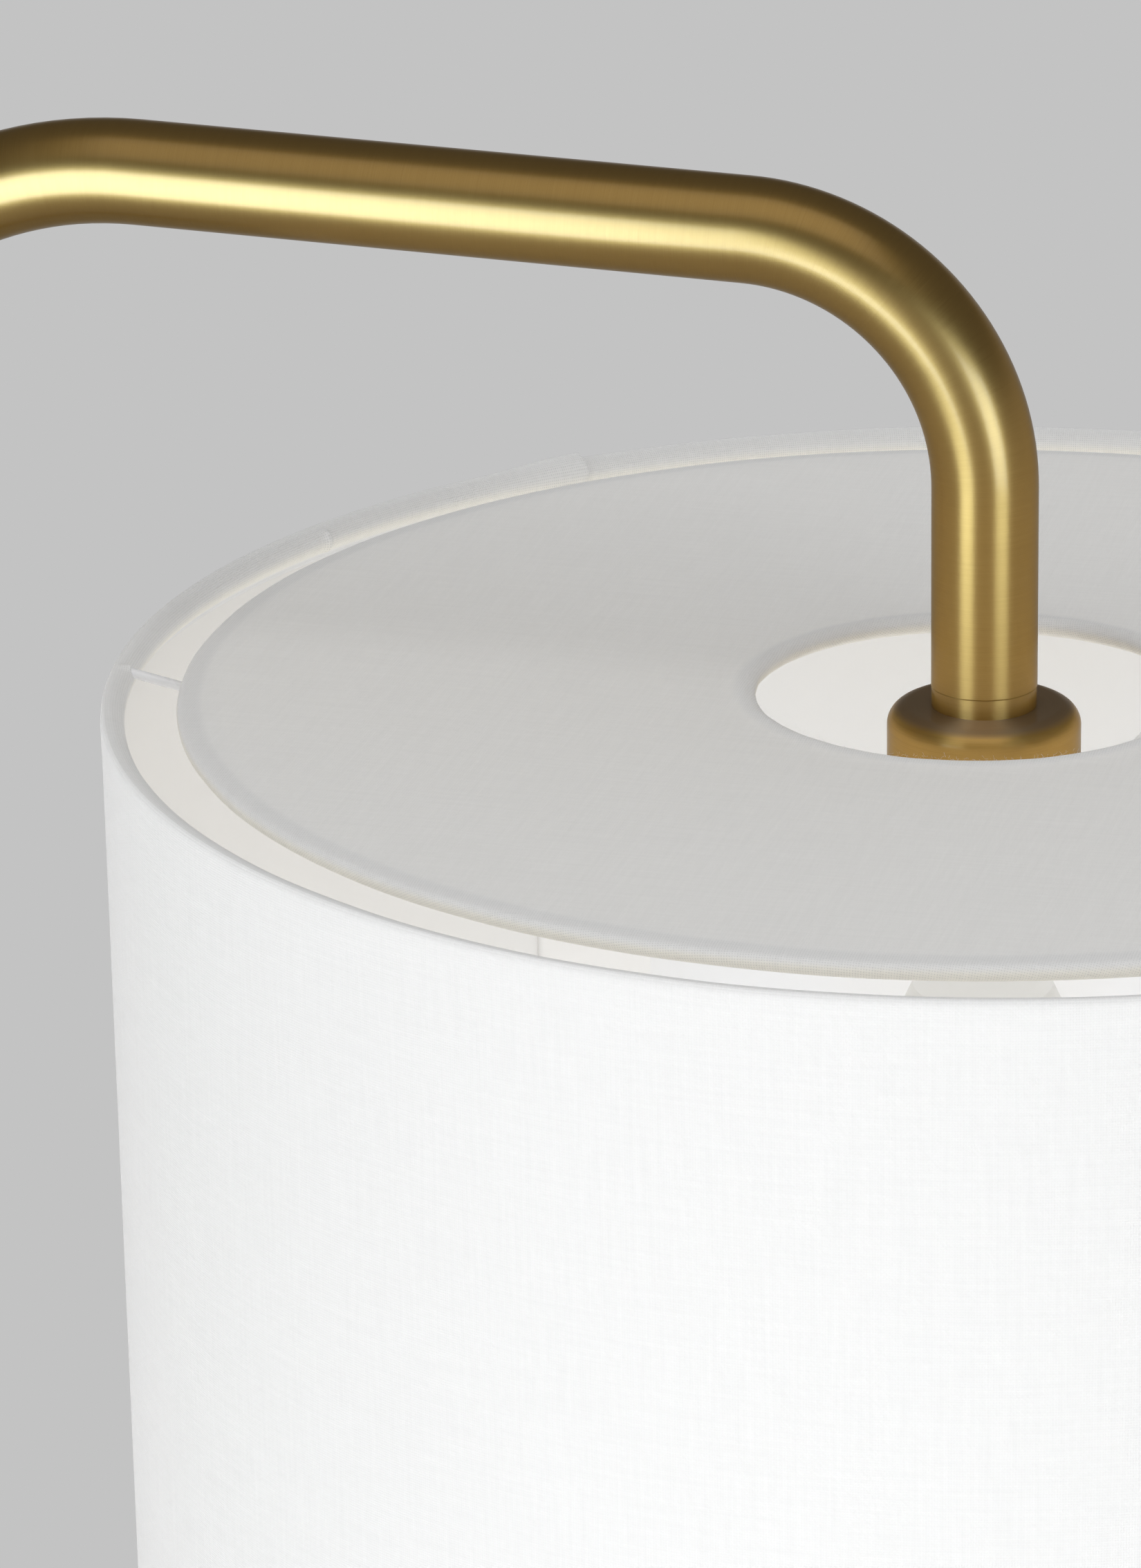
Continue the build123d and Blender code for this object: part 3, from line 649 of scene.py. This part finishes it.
# ---- operators ----
class ARCLAMP_OT_arm(bpy.types.Operator):
    """Sweeps the hooked arm tube along its route"""
    bl_idname = "arclamp.arm"
    bl_label = "Arm Tube"

    def route(self, arm):
        """Corners of the tube's centreline, with a near point at each end for the chamfer."""
        crest = ARM_HIGH.z - arm.tube_radius
        turn = math.pi / 2 + arm.fall
        pole_corner = crest - arm.pole_bend + arm.pole_bend * math.tan(turn / 2)
        head_corner = pole_corner - RIM.x * math.tan(arm.fall)
        return [
            (0, 0, ARM_LOW.z), (0, 0, ARM_LOW.z + arm.end_chamfer), (0, 0, pole_corner),
            (RIM.x, 0, head_corner), (RIM.x, 0, FERRULE_TOP + arm.end_chamfer),
            (RIM.x, 0, FERRULE_TOP)]

    def tree(self, arm):
        tree = Tree("Bent tube", {
            "Tube Radius": arm.tube_radius, "End Chamfer": arm.end_chamfer,
            "Pole Bend": arm.pole_bend, "Head Bend": arm.head_bend, "Bend Steps": 40,
            "Tube Sides": 72})
        index = tree.node("GeometryNodeInputIndex")
        is_pole, is_head = (
            tree.node("FunctionNodeCompare", {"data_type": "INT", "operation": "EQUAL"},
                      {2: index, 3: corner}) for corner in (2, 3))
        is_end = tree.node("GeometryNodeCurveEndpointSelection")
        bend = is_pole * tree.given("Pole Bend") + is_head * tree.given("Head Bend")
        narrowing = tree.given("End Chamfer") / tree.given("Tube Radius")
        sized = tree.node("GeometryNodeSetCurveRadius", inputs={
            "Curve": tree.given("Geometry"), "Radius": 1.0 - is_end * narrowing})
        bent = tree.node("GeometryNodeFilletCurve", {"mode": "POLY"}, {
            "Curve": sized, "Radius": bend, "Count": tree.given("Bend Steps")})
        ring = tree.node("GeometryNodeCurvePrimitiveCircle", inputs={
            "Resolution": tree.given("Tube Sides"), "Radius": tree.given("Tube Radius")})
        swept = tree.node("GeometryNodeCurveToMesh", inputs={
            "Curve": self.marked(tree, bent, "along"),
            "Profile Curve": self.marked(tree, ring, "around")})
        lengths = [tree.node("GeometryNodeInputNamedAttribute", {"data_type": "FLOAT"},
                             {"Name": title}, "Attribute") for title in ("along", "around")]
        mapped = tree.node(
            "GeometryNodeStoreNamedAttribute", {"data_type": "FLOAT2", "domain": "CORNER"},
            {"Geometry": swept, "Name": "UVMap", "Value": tree.point(*lengths, 0.0)})
        return tree.finish(tree.node("GeometryNodeSetShadeSmooth", inputs={"Geometry": mapped}))

    def marked(self, tree, curve, title):
        """The curve with the distance along it stored under a title."""
        far = tree.node("GeometryNodeSplineParameter", output="Length")
        return tree.node(
            "GeometryNodeStoreNamedAttribute", {"data_type": "FLOAT", "domain": "POINT"},
            {"Geometry": curve, "Name": title, "Value": far})

    def execute(self, context):
        lamp = context.scene.arc_lamp
        path = polyline("arm_route", self.route(lamp.arm))

        def on_legs(finish):
            """0 down to 50 mm under the arm's crest, and 1 from 85 mm under it."""
            return finish.ramp((ARM_HIGH.z - finish.coordinates()[2]) * 10.0, 0.5, 0.85)

        # The whole arm is painted a tenth darker, painted shade, and its legs lighter, a painted
        # highlight.
        material = brushed_brass(
            "brass_arm", lamp.brass, Finish.cloth_lengths, softer=0.025, painted_light_scale=0.90, grooved=on_legs)
        piece = grown("arm_tube_brushed", path, self.tree(lamp.arm), material)
        wall = piece.modifiers.new("Wall", "SOLIDIFY")
        wall.thickness = lamp.arm.tube_wall
        wall.offset = -1.0
        open_tube, walled_tube = piece.data, evaluated(piece)
        walled_tube.name = piece.name
        piece.modifiers.clear()
        piece.data = walled_tube
        bpy.data.meshes.remove(open_tube)
        self.widen_space(piece.data)
        finish_piece(piece, material, "brass", "stand", "arm_tube")
        return {"FINISHED"}

    def widen_space(self, mesh):
        """Stretch the mesh's own texture space along X.

        Grooves run round the upright line through the middle of that space, and falter where the
        surface faces the way they run. Stretched, that is on the legs' sides that face along X.
        """
        middle, half = middle_and_half("arm_tube")
        stretch = 18.0
        mesh.use_auto_texspace = False
        mesh.texspace_location = middle
        mesh.texspace_size = half * Vector((stretch, 1.0, 1.0))


class ARCLAMP_OT_metal(bpy.types.Operator):
    """Brushes the pole, the base and the head's turned parts, and finishes the steel and iron"""
    bl_idname = "arclamp.metal"
    bl_label = "Metal Finishes"

    def execute(self, context):
        brass = context.scene.arc_lamp.brass
        cap_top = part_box("socket_cap")[1].z

        def painted_shade_on_cap_top(finish):
            """Share of the painted shade on the cap's top: 0 up to 1.6 mm under the cap's top, and 1
            from 0.5 mm under it.
            """
            return finish.ramp((finish.coordinates()[2] - (cap_top - 10.0 * MM)) * 100.0, 0.84, 0.95)

        def on_knob_end(finish):
            """Lines across Y, along which the knob's stem points."""
            x, y, z = finish.coordinates()
            return y, x + z

        head = about_axis(RIM.x, RIM.y)
        # Each part's lift paints light into its colour: the pole, the ferrule and the cap are painted
        # lighter, as painted highlights.
        on_pole = brushed_brass("brass_pole", brass, about_axis(0.0, 0.0), softer=0.10, painted_light_scale=1.46)
        on_head = brushed_brass("brass_head", brass, head, softer=0.10, painted_light_scale=1.4)
        on_cap = brushed_brass("brass_cap", brass, head, softer=0.06, brushed=0.4, painted_light_scale=1.56,
                               painted_top_shade_share=painted_shade_on_cap_top)
        on_knob = brushed_brass("brass_knob", brass, on_knob_end, grooved=False)
        steel = plain_finish(
            "zinc_steel", (0.42, 0.42, 0.41), (0.56, 0.56, 0.54), 0.34, metallic=1.0, grain=900.0)
        iron = plain_finish(
            "cast_iron", (0.035, 0.034, 0.033), (0.075, 0.070, 0.066), 0.72, grain=700.0,
            depth=0.12 * MM)
        contact = plain_finish(
            "contact_brass", (0.55, 0.40, 0.17), (0.66, 0.50, 0.23), 0.25, metallic=1.0)
        nickel = plain_finish(
            "bulb_nickel", (0.55, 0.54, 0.52), (0.68, 0.67, 0.64), 0.22, metallic=1.0)
        paint({
            on_pole: ["base_cover", "pole_collar", "pole_tube_1", "pole_tube_2"],
            on_head: ["ferrule"],
            on_cap: ["socket_cap"],
            on_knob: ["switch_knob"],
            steel: ["base_plate", "plate_screws", "base_washer", "base_nut", "base_nipple",
                    "terminal_screws", "pole_foot_insert_1", "pole_top_insert_1", "joint_nipple_1",
                    "pole_foot_insert_2", "pole_top_insert_2", "joint_nipple_2", "arm_foot_insert",
                    "arm_end_insert", "head_nipple", "head_washer", "head_nut", "socket_terminals",
                    "switch_stem"],
            iron: ["base_weight"],
            contact: ["screw_shell", "centre_contact", "bulb_contact"],
            nickel: ["bulb_cap"],
        })
        return {"FINISHED"}


def paint(dress):
    """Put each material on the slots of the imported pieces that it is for."""
    for material, nodes in dress.items():
        for node in nodes:
            for slot in frame["nodes"][node].material_slots:
                slot.material = material


class ARCLAMP_OT_fittings(bpy.types.Operator):
    """Finishes the mouldings, the enamelled wires, the felt, the rubber and the bulb"""
    bl_idname = "arclamp.fittings"
    bl_label = "Fittings and Bulb"

    def execute(self, context):
        paint({
            plain_finish("felt", (0.022, 0.022, 0.023), (0.055, 0.055, 0.056), 0.95, grain=2600.0,
                         depth=0.15 * MM): ["felt_pad"],
            plain_finish("rubber", (0.018,) * 3, (0.030,) * 3, 0.55): ["cord_grommet"],
            plain_finish("lead_sheath", (0.025,) * 3, (0.04,) * 3, 0.45): ["inner_lead"],
            plain_finish("black_moulding", (0.015, 0.015, 0.016), (0.028, 0.028, 0.029), 0.38):
                ["terminal_block", "switch_housing"],
            plain_finish("porcelain", (0.80, 0.79, 0.76), (0.86, 0.85, 0.82), 0.20,
                         Coat_Weight=0.5, Coat_Roughness=0.08): ["socket_body"],
            plain_finish("bulb_white", (0.89, 0.89, 0.875), (0.92, 0.92, 0.905), 0.36):
                ["bulb_housing"],
            plain_finish("bulb_frost", (0.86, 0.86, 0.85), (0.89, 0.89, 0.88), 0.42):
                ["bulb_globe"],
            plain_finish("board", (0.72, 0.73, 0.72), (0.80, 0.81, 0.80), 0.5): ["bulb_board"],
            plain_finish("white_moulding", (0.78, 0.78, 0.77), (0.84, 0.84, 0.83), 0.34):
                ["ring_nut"],
            plain_finish("white_enamel", (0.76, 0.76, 0.77), (0.82, 0.82, 0.83), 0.28,
                         Coat_Weight=0.4, Coat_Roughness=0.12):
                ["fitter_ring", "spider_spokes", "top_ring_wire", "bottom_ring_wire",
                 "diffuser_outer_wire", "diffuser_hole_wire"],
            styrene_finish(): ["shade_lining", "diffuser_panel"],
        })
        return {"FINISHED"}


class ARCLAMP_OT_cover(bpy.types.Operator):
    """Makes the linen cover, rolled over both of the shade's wires"""
    bl_idname = "arclamp.cover"
    bl_label = "Linen Cover"

    hem_reach = 9.0 * MM
    hem_full = 1.0 * MM

    def hem_line(self, shade):
        """The cloth from the drum's side over a wire and in to the lining.

        Its points are in millimetres out from the drum and up from the wire's middle.
        """
        swell, top = shade.hem_swell / MM, HEM_SECTION / MM
        inner = (HEM_RING - HEM_SECTION - shade.radius) / MM
        crown, half = (swell + inner) / 2, (swell - inner) / 2
        points = np.array([
            (0.0, -self.hem_reach / MM), (0.25 * swell, -6.0), (swell, -2.2), (swell - 0.04, 1.8),
            (swell - 0.36, 2.95), (swell - 1.2, top), (crown - 0.10 * half, top - 0.45),
            (crown - 0.66 * half, 2.2), (crown - 0.94 * half, 0.7), (inner + 0.12 * half, -1.3),
            (inner + 0.62 * half, -3.0), (-2.25, -4.2), (-1.6, -5.6)])
        return smooth_line(points * MM + (shade.radius, 0), 4)

    def over_spokes(self, shade, line):
        """How far the cloth has to rise to lie over a spoke's end, for each point of its line."""
        spoke_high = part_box("spider_spokes")[1].z - RIM.z + 0.3 * MM
        inner = HEM_RING - HEM_SECTION + 0.1 * MM
        outer = shade.radius - 1.0 * MM
        radius, height = line.T
        rise = np.clip(spoke_high - height, 0.0, 2.0 * MM) * (height > 0.0)
        rise *= eased(radius, outer, outer - 1.0 * MM) * eased(radius, inner, inner + 0.9 * MM)
        return np.concatenate([rise, rise[::-1]])

    def execute(self, context):
        lamp = context.scene.arc_lamp
        shade = lamp.shade
        drum = shade.radius
        hem = self.hem_line(shade)
        depth = RIM.z - LOW_RIM.z
        low_hem = hem[::-1] * (1, -1) - (0, depth)
        side_heights = np.linspace(low_hem[-1, 1], hem[0, 1], 26)[1:-1]
        side = np.stack([np.full(len(side_heights), drum), side_heights], 1)
        line = np.vstack([low_hem, side, hem])
        section = walled(line, shade.cloth)
        radius, height = section.T
        outward = sideways(np.vstack([section[-1:], section, section[:1]]))[1:-1]
        outward[len(line):] = outward[:len(line)][::-1]
        far = running_length(line)
        spokes = [SPOKE_SIDE + step * 2 * math.pi / 3 for step in range(3)]
        turns = dense_turns(300, shade.seam, shade.seam - math.radians(0.4), shade.pucker, *spokes)
        in_hem = eased(height, -self.hem_reach, -self.hem_full)
        rolled = np.maximum(in_hem, eased(height, self.hem_reach - depth, self.hem_full - depth))
        is_inner = eased(radius, drum - 3.0 * MM, drum - 5.5 * MM)
        is_tucked = eased(height, -1.0 * MM, -3.5 * MM)
        is_tucked *= (radius < drum - 1.2 * MM) & (height > -12 * MM)

        seam_past = past(turns, shade.seam)
        lifted = np.where(seam_past > 0, 1 - eased(seam_past, 0, shade.seam_run), 0.0)
        lifted *= eased(seam_past, -0.001, 0.003)
        hang = np.where(
            seam_past > 0, 1 - eased(seam_past, 0.8 * shade.flap_run, 1.1 * shade.flap_run), 0.0)
        hang *= eased(seam_past, -0.0006, 0.0006) * shade.flap
        share_on_side = 0.45
        pucker_high = 1.1 * MM
        waves = ripple(turns, seed=4, waves=(7, 11, 19, 31), size=0.16 * MM)
        push = np.outer(lifted * shade.seam_step, share_on_side + (1 - share_on_side) * rolled)
        push += np.outer(waves, rolled)
        push += np.outer(bump(turns, shade.pucker, degrees=0.35), is_inner * in_hem) * pucker_high
        flat = section + push[:, :, None] * outward
        flat[:, :, 1] -= np.outer(hang, is_tucked)
        for spoke in spokes:
            flat[:, :, 1] += np.outer(bump(turns, spoke, degrees=0.5), self.over_spokes(shade, line))

        along = np.append(turns, turns[0] + 2 * math.pi) * drum
        opened = rolled * eased(radius, drum - 1.6 * MM, drum - 3.8 * MM)
        past_wire = np.maximum(height, -depth - height)
        # The hems' inner undersides take the warm colour: cream, and painted light against their shade.
        cream_and_painted_light = opened * eased(past_wire, 1.2 * MM, -1.8 * MM)
        piece = turned_grid(
            "shade_linen", about(RIM, turns, flat[:, :, 0], flat[:, :, 1]),
            length_grid(along, np.concatenate([far, far[::-1], far[:1]])),
            values={"open": opened, "warm": cream_and_painted_light, "flat": 0.0})
        material = linen_finish("linen", lamp.linen, hole_share=0.10)
        finish_piece(piece, material, "linen", "shade", "shade_cover", "top_hem", "bottom_hem")
        self.lining_lap(shade)
        return {"FINISHED"}

    def lining_lap(self, shade):
        """The end of the lining's sheet, which lies on its start."""
        sheet, end_gap = 0.8 * MM, 4.8 * MM
        face = middle_and_half("shade_lining")[1].x - sheet
        turns = shade.lap - np.linspace(0, shade.lap_run, 24)
        half_run = shade.lap_run / 2
        inner = face - sheet + 1.0 * MM * eased(shade.lap - turns, half_run, shade.lap_run)
        heights = np.linspace(-end_gap, LOW_RIM.z - RIM.z + end_gap, 12)
        rows = np.concatenate([heights, heights[::-1]])
        is_outer = np.repeat([0.0, 1.0], len(heights))
        radius = inner[:, None] + (face + sheet / 2 - inner)[:, None] * is_outer
        lengths = length_grid(np.append(turns, turns[-1]) * face, RIM.z + np.append(rows, rows[0]))
        piece = turned_grid("lining_lap", about(RIM, turns, radius, rows), lengths, hoop=False)
        finish_piece(piece, bpy.data.materials["styrene"], "styrene", "shade")


class ARCLAMP_OT_diffuser(bpy.types.Operator):
    """Makes the diffuser's cloth, rolled over its outer wire and round its hole"""
    bl_idname = "arclamp.diffuser"
    bl_label = "Diffuser Cloth"

    def execute(self, context):
        lamp = context.scene.arc_lamp
        cloth = lamp.shade.cloth
        outer, hole = DIFFUSER_RING, HOLE_RING
        hole_drop = DIFFUSER.z - HOLE.z
        # Both rolls' points are in millimetres out from their wire's ring and up from its middle.
        under = -0.35
        top = (PANEL_TOP - DIFFUSER.z + cloth) / MM + 0.1
        wire = HOLE_SECTION / MM
        at_hole = MM * np.array([
            (9.0, under), (5.0, under - 0.2), (2.4, -1.7), (0.2, -wire), (-0.8 * wire, -1.5),
            (-wire, 0.0), (-0.78 * wire, 1.4), (-0.2, top + 0.45), (2.2, top + 0.2), (4.5, top)])
        wire = DIFFUSER_SECTION / MM
        at_edge = MM * np.array([
            (-3.5, top), (0.2, top - 0.15), (0.74 * wire, 1.2), (wire, -0.2), (0.8 * wire, -1.9),
            (-0.2, -wire), (-2.6, -1.8), (-5.0, under - 0.2), (-9.0, under)])
        first = smooth_line(at_hole + (hole, -hole_drop), 4)
        last = smooth_line(at_edge + (outer, 0), 4)
        across_flat = np.linspace(0, 1, 30)[1:-1, None]
        line = np.vstack([first, first[-1] + (last[0] - first[-1]) * across_flat, last])
        far = running_length(line)
        turns = dense_turns(240)
        radius, height = walled(line, -cloth).T
        inside = np.clip((radius - hole) / (outer - hole), 0, 1)
        level = np.sin(math.pi * inside)
        height_on_cone = height + hole_drop * (1 - inside)
        flat_rows = (height_on_cone > 0.5 * top * MM) * eased(radius, hole + 0.8 * MM, hole + 3.8 * MM)
        flat_rows *= eased(radius, outer - 1.5 * MM, outer - 4.5 * MM)
        # The rolls' lower rows take the warm colour: cream, and painted light against their shade.
        low_rows = (1 - flat_rows) * eased(height_on_cone, 1.1 * MM, -0.5 * MM)
        sag = 0.18 * MM
        waves = np.outer(ripple(turns, seed=9, waves=(2, 3, 5), size=sag) + sag, level)
        edge_waves = ripple(turns, seed=12, waves=(9, 13, 21, 34), size=0.28 * MM)
        edge_waves = np.outer(edge_waves, 1 - level)
        places = about(DIFFUSER, turns, radius + edge_waves * np.sign(inside - 0.5), height + waves)
        spread = np.concatenate([far, far[::-1]]) - far[len(first)] + radius[len(first)]
        spread = about(Vector(), turns, spread, 0.0)[:, :, :2]
        piece = turned_grid("diffuser_cloth", places, spread,
                            values={"open": 1 - flat_rows, "warm": low_rows, "flat": flat_rows})
        piece.data.flip_normals()
        material = linen_finish("diffuser_linen", lamp.linen, hole_share=0.05, relief_share=0.7)
        finish_piece(piece, material, "linen", "diffuser",
                     "diffuser_fabric", "diffuser_outer_hem", "diffuser_hole_hem")
        return {"FINISHED"}


class ARCLAMP_OT_fibres(bpy.types.Operator):
    """Grows the loose fibres that stand off the rolled edge of the diffuser's hole"""
    bl_idname = "arclamp.fibres"
    bl_label = "Loose Fibres"

    fibres: bpy.props.IntProperty(
        name="Fibres", description="How many fibres stand round the hole", default=1100, min=1)
    fibre: length("Fibre", "Length of a fibre", 0.85 * MM)

    def tree(self):
        tree = Tree("Loose fibres", {
            "Fibres": self.fibres, "Fibre Length": self.fibre, "Thickness": 0.04 * MM,
            "Scatter": 0.9 * MM, "Seed": 5})
        spots = tree.node("GeometryNodeCurveToPoints", {"mode": "COUNT"}, {
            "Curve": tree.given("Geometry"), "Count": tree.given("Fibres")}, "Points")
        far = tree.given("Scatter")
        near = far * -1.0
        drift = self.random(tree, tree.point(near, near, near), tree.point(far, far, far), 0)
        placed = tree.node("GeometryNodeSetPosition", inputs={"Geometry": spots, "Offset": drift})
        span = tree.given("Fibre Length")
        half = span * 0.5
        bow = tree.node("GeometryNodeCurveQuadraticBezier", inputs={
            "Resolution": 4, "Start": (0.0, 0.0, 0.0), "Middle": tree.point(half, 0.0, half),
            "End": tree.point(half, half, span)})
        ring = tree.node("GeometryNodeCurvePrimitiveCircle", inputs={
            "Resolution": 3, "Radius": tree.given("Thickness") * 0.5})
        hair = tree.node("GeometryNodeCurveToMesh", inputs={
            "Curve": bow, "Profile Curve": ring, "Fill Caps": True})
        turn = self.random(tree, (-1.4, -1.4, 0.0), (1.4, 1.4, 6.28), 1)
        grown_by = self.random(tree, (0.35, 0.35, 0.35), (1.3, 1.3, 1.3), 2)
        return tree.finish(tree.node("GeometryNodeInstanceOnPoints", inputs={
            "Points": placed, "Instance": hair, "Rotation": turn, "Scale": grown_by}))

    def random(self, tree, low, high, number):
        """A random vector for every fibre, from a seed of its own."""
        return tree.node("FunctionNodeRandomValue", {"data_type": "FLOAT_VECTOR"}, {
            "Min": low, "Max": high, "Seed": tree.given("Seed") + number * 10.0}, "Value")

    def execute(self, context):
        radius = HOLE_RING - 0.45 * HOLE_SECTION
        turns = np.linspace(0, 2 * math.pi, 97)
        hem_high = 1.7 * MM
        path = polyline("hole_edge", about(HOLE, turns, radius, hem_high)[:, 0])
        linen = bpy.data.materials["diffuser_linen"]
        piece = grown("hole_fibres", path, self.tree(), linen)
        finish_piece(piece, linen, "linen", "diffuser")
        return {"FINISHED"}


class ARCLAMP_OT_stage(bpy.types.Operator):
    """Sets out the floor, the studio light and the camera"""
    bl_idname = "arclamp.stage"
    bl_label = "Stage"

    gain: bpy.props.FloatProperty(
        name="Gain", description="How much brighter metal sees the softboxes", default=4.9)
    core: share("Core", "Share of a softbox's width that metal sees", 0.80)

    def surroundings(self, scene, stage):
        """A grey sky: seen rays get the backdrop and the ceiling, and light the two levels."""
        world = bpy.data.worlds.new("Studio")
        scene.world = world
        world.use_nodes = True
        nodes = Nodes(world.node_tree)
        height = nodes.coordinates("Generated")[2]
        shown = nodes.blend(nodes.swell(height, 0.04, 0.34), stage.backdrop, stage.ceiling)
        level = nodes.swell(height, 0.1, 0.9, stage.ambient, stage.zenith)
        whole = nodes.blend(nodes.seen(), level, shown)
        nodes.join(nodes.found("BACKGROUND").inputs[0], whole)

    def floor(self, stage):
        """A pale floor that fades into the backdrop's colour away from the base."""
        reach = 16.0
        corners = [(x * reach, y * reach, 0.0) for x, y in ((-1, -1), (1, -1), (1, 1), (-1, 1))]
        mesh = bpy.data.meshes.new("studio_floor")
        mesh.from_pydata(corners, [], [(0, 1, 2, 3)])
        finish = Finish("floor")
        x, y, _ = finish.coordinates()
        far = finish.swell((x * x + y * y).root(), 0.5, 1.8)
        glow = finish.node("ShaderNodeEmission", inputs={0: stage.backdrop})
        finish.set(Base_Color=stage.floor, Roughness=0.9, Specular_IOR_Level=0.1)
        finish.show(finish.mix(far * finish.seen(), finish.look, glow))
        mesh.materials.append(finish.material)
        new_piece("studio_floor", mesh)

    def panel(self, name, place, turn, width, depth, radiance, tint=None, diffuse_only=False):
        """A flat soft light at a place, turned by degrees from facing down.

        With a tint, metal sees a tinted twin that stands 20 mm in front of it.
        """
        for metal in ((False, True) if tint else (None,)):
            data = bpy.data.lights.new(name, "AREA")
            data.shape = "RECTANGLE"
            data.size, data.size_y = width, depth
            data.energy = radiance * math.pi * width * depth
            lamp = new_piece(name + ("_gleam" if metal else ""), data)
            lamp.location = place
            lamp.rotation_euler = [math.radians(part) for part in turn]
            if metal:
                lamp.location += lamp.rotation_euler.to_matrix() @ Vector((0.0, 0.0, -20.0 * MM))
                data.color = tint
                data.size *= self.core
                data.energy *= self.gain * self.core
                lamp.visible_diffuse = lamp.visible_transmission = False
            elif tint or diffuse_only:
                lamp.visible_glossy = False

    def softbox(self, name, turn, radiance, tint):
        """An upright light, at a turn in degrees from -Y to +X as seen from the shade."""
        away, width = 2.2, 1.3
        elevations = (-33.0, 15.0)
        base, top = (RIM.z + math.tan(math.radians(part)) * away for part in elevations)
        side = math.radians(turn)
        self.panel(name, (RIM.x + away * math.sin(side), -away * math.cos(side), (base + top) / 2),
                   (90, 0, turn), width, top - base, radiance, tint)

    def execute(self, context):
        scene = context.scene
        stage = scene.arc_lamp.stage
        self.surroundings(scene, stage)
        self.floor(stage)
        self.softbox("left_softbox", turn=-27.0, radiance=2.54, tint=stage.gleam)
        self.softbox("right_softbox", turn=47.0, radiance=1.75, tint=stage.gleam)
        self.panel("ceiling_panel", (RIM.x, -0.86, RIM.z + 2.03), turn=(23, 0, 0),
                   width=2.2, depth=1.9, radiance=0.80)
        self.panel("floor_panel", (RIM.x, 0.0, 0.75), turn=(180, 0, 0),
                   width=1.6, depth=1.6, radiance=1.30, diffuse_only=True)
        lens = bpy.data.cameras.new("camera")
        lens.lens = stage.camera_lens
        lens.sensor_width = 36.0
        lens.clip_end = 60.0
        camera = new_piece("camera", lens)
        camera.location = stage.camera_place
        camera.rotation_euler = stage.camera_turn
        scene.camera = camera
        scene.view_settings.view_transform = "Standard"
        return {"FINISHED"}


STEPS = (ARCLAMP_OT_metal, ARCLAMP_OT_fittings, ARCLAMP_OT_arm, ARCLAMP_OT_cover,
         ARCLAMP_OT_diffuser, ARCLAMP_OT_fibres, ARCLAMP_OT_stage)


class ARCLAMP_PT_panel(bpy.types.Panel):
    """Lists the lamp's pieces in the sidebar"""
    bl_idname = "ARCLAMP_PT_panel"
    bl_label = "Arc Lamp"
    bl_space_type = "VIEW_3D"
    bl_region_type = "UI"
    bl_category = "Arc Lamp"

    def draw(self, context):
        for step in STEPS:
            self.layout.operator(step.bl_idname)


CLASSES = (ARCLAMP_PG_brass, ARCLAMP_PG_arm, ARCLAMP_PG_linen, ARCLAMP_PG_shade, ARCLAMP_PG_stage,
           ARCLAMP_PG_lamp, *STEPS, ARCLAMP_PT_panel)


def register():
    for item in CLASSES:
        bpy.utils.register_class(item)
    bpy.types.Scene.arc_lamp = bpy.props.PointerProperty(type=ARCLAMP_PG_lamp)


def unregister():
    del bpy.types.Scene.arc_lamp
    for item in reversed(CLASSES):
        bpy.utils.unregister_class(item)


def main():
    register()
    for step in STEPS:
        group, name = step.bl_idname.split(".")
        getattr(getattr(bpy.ops, group), name)()


if __name__ == "__main__":
    main()
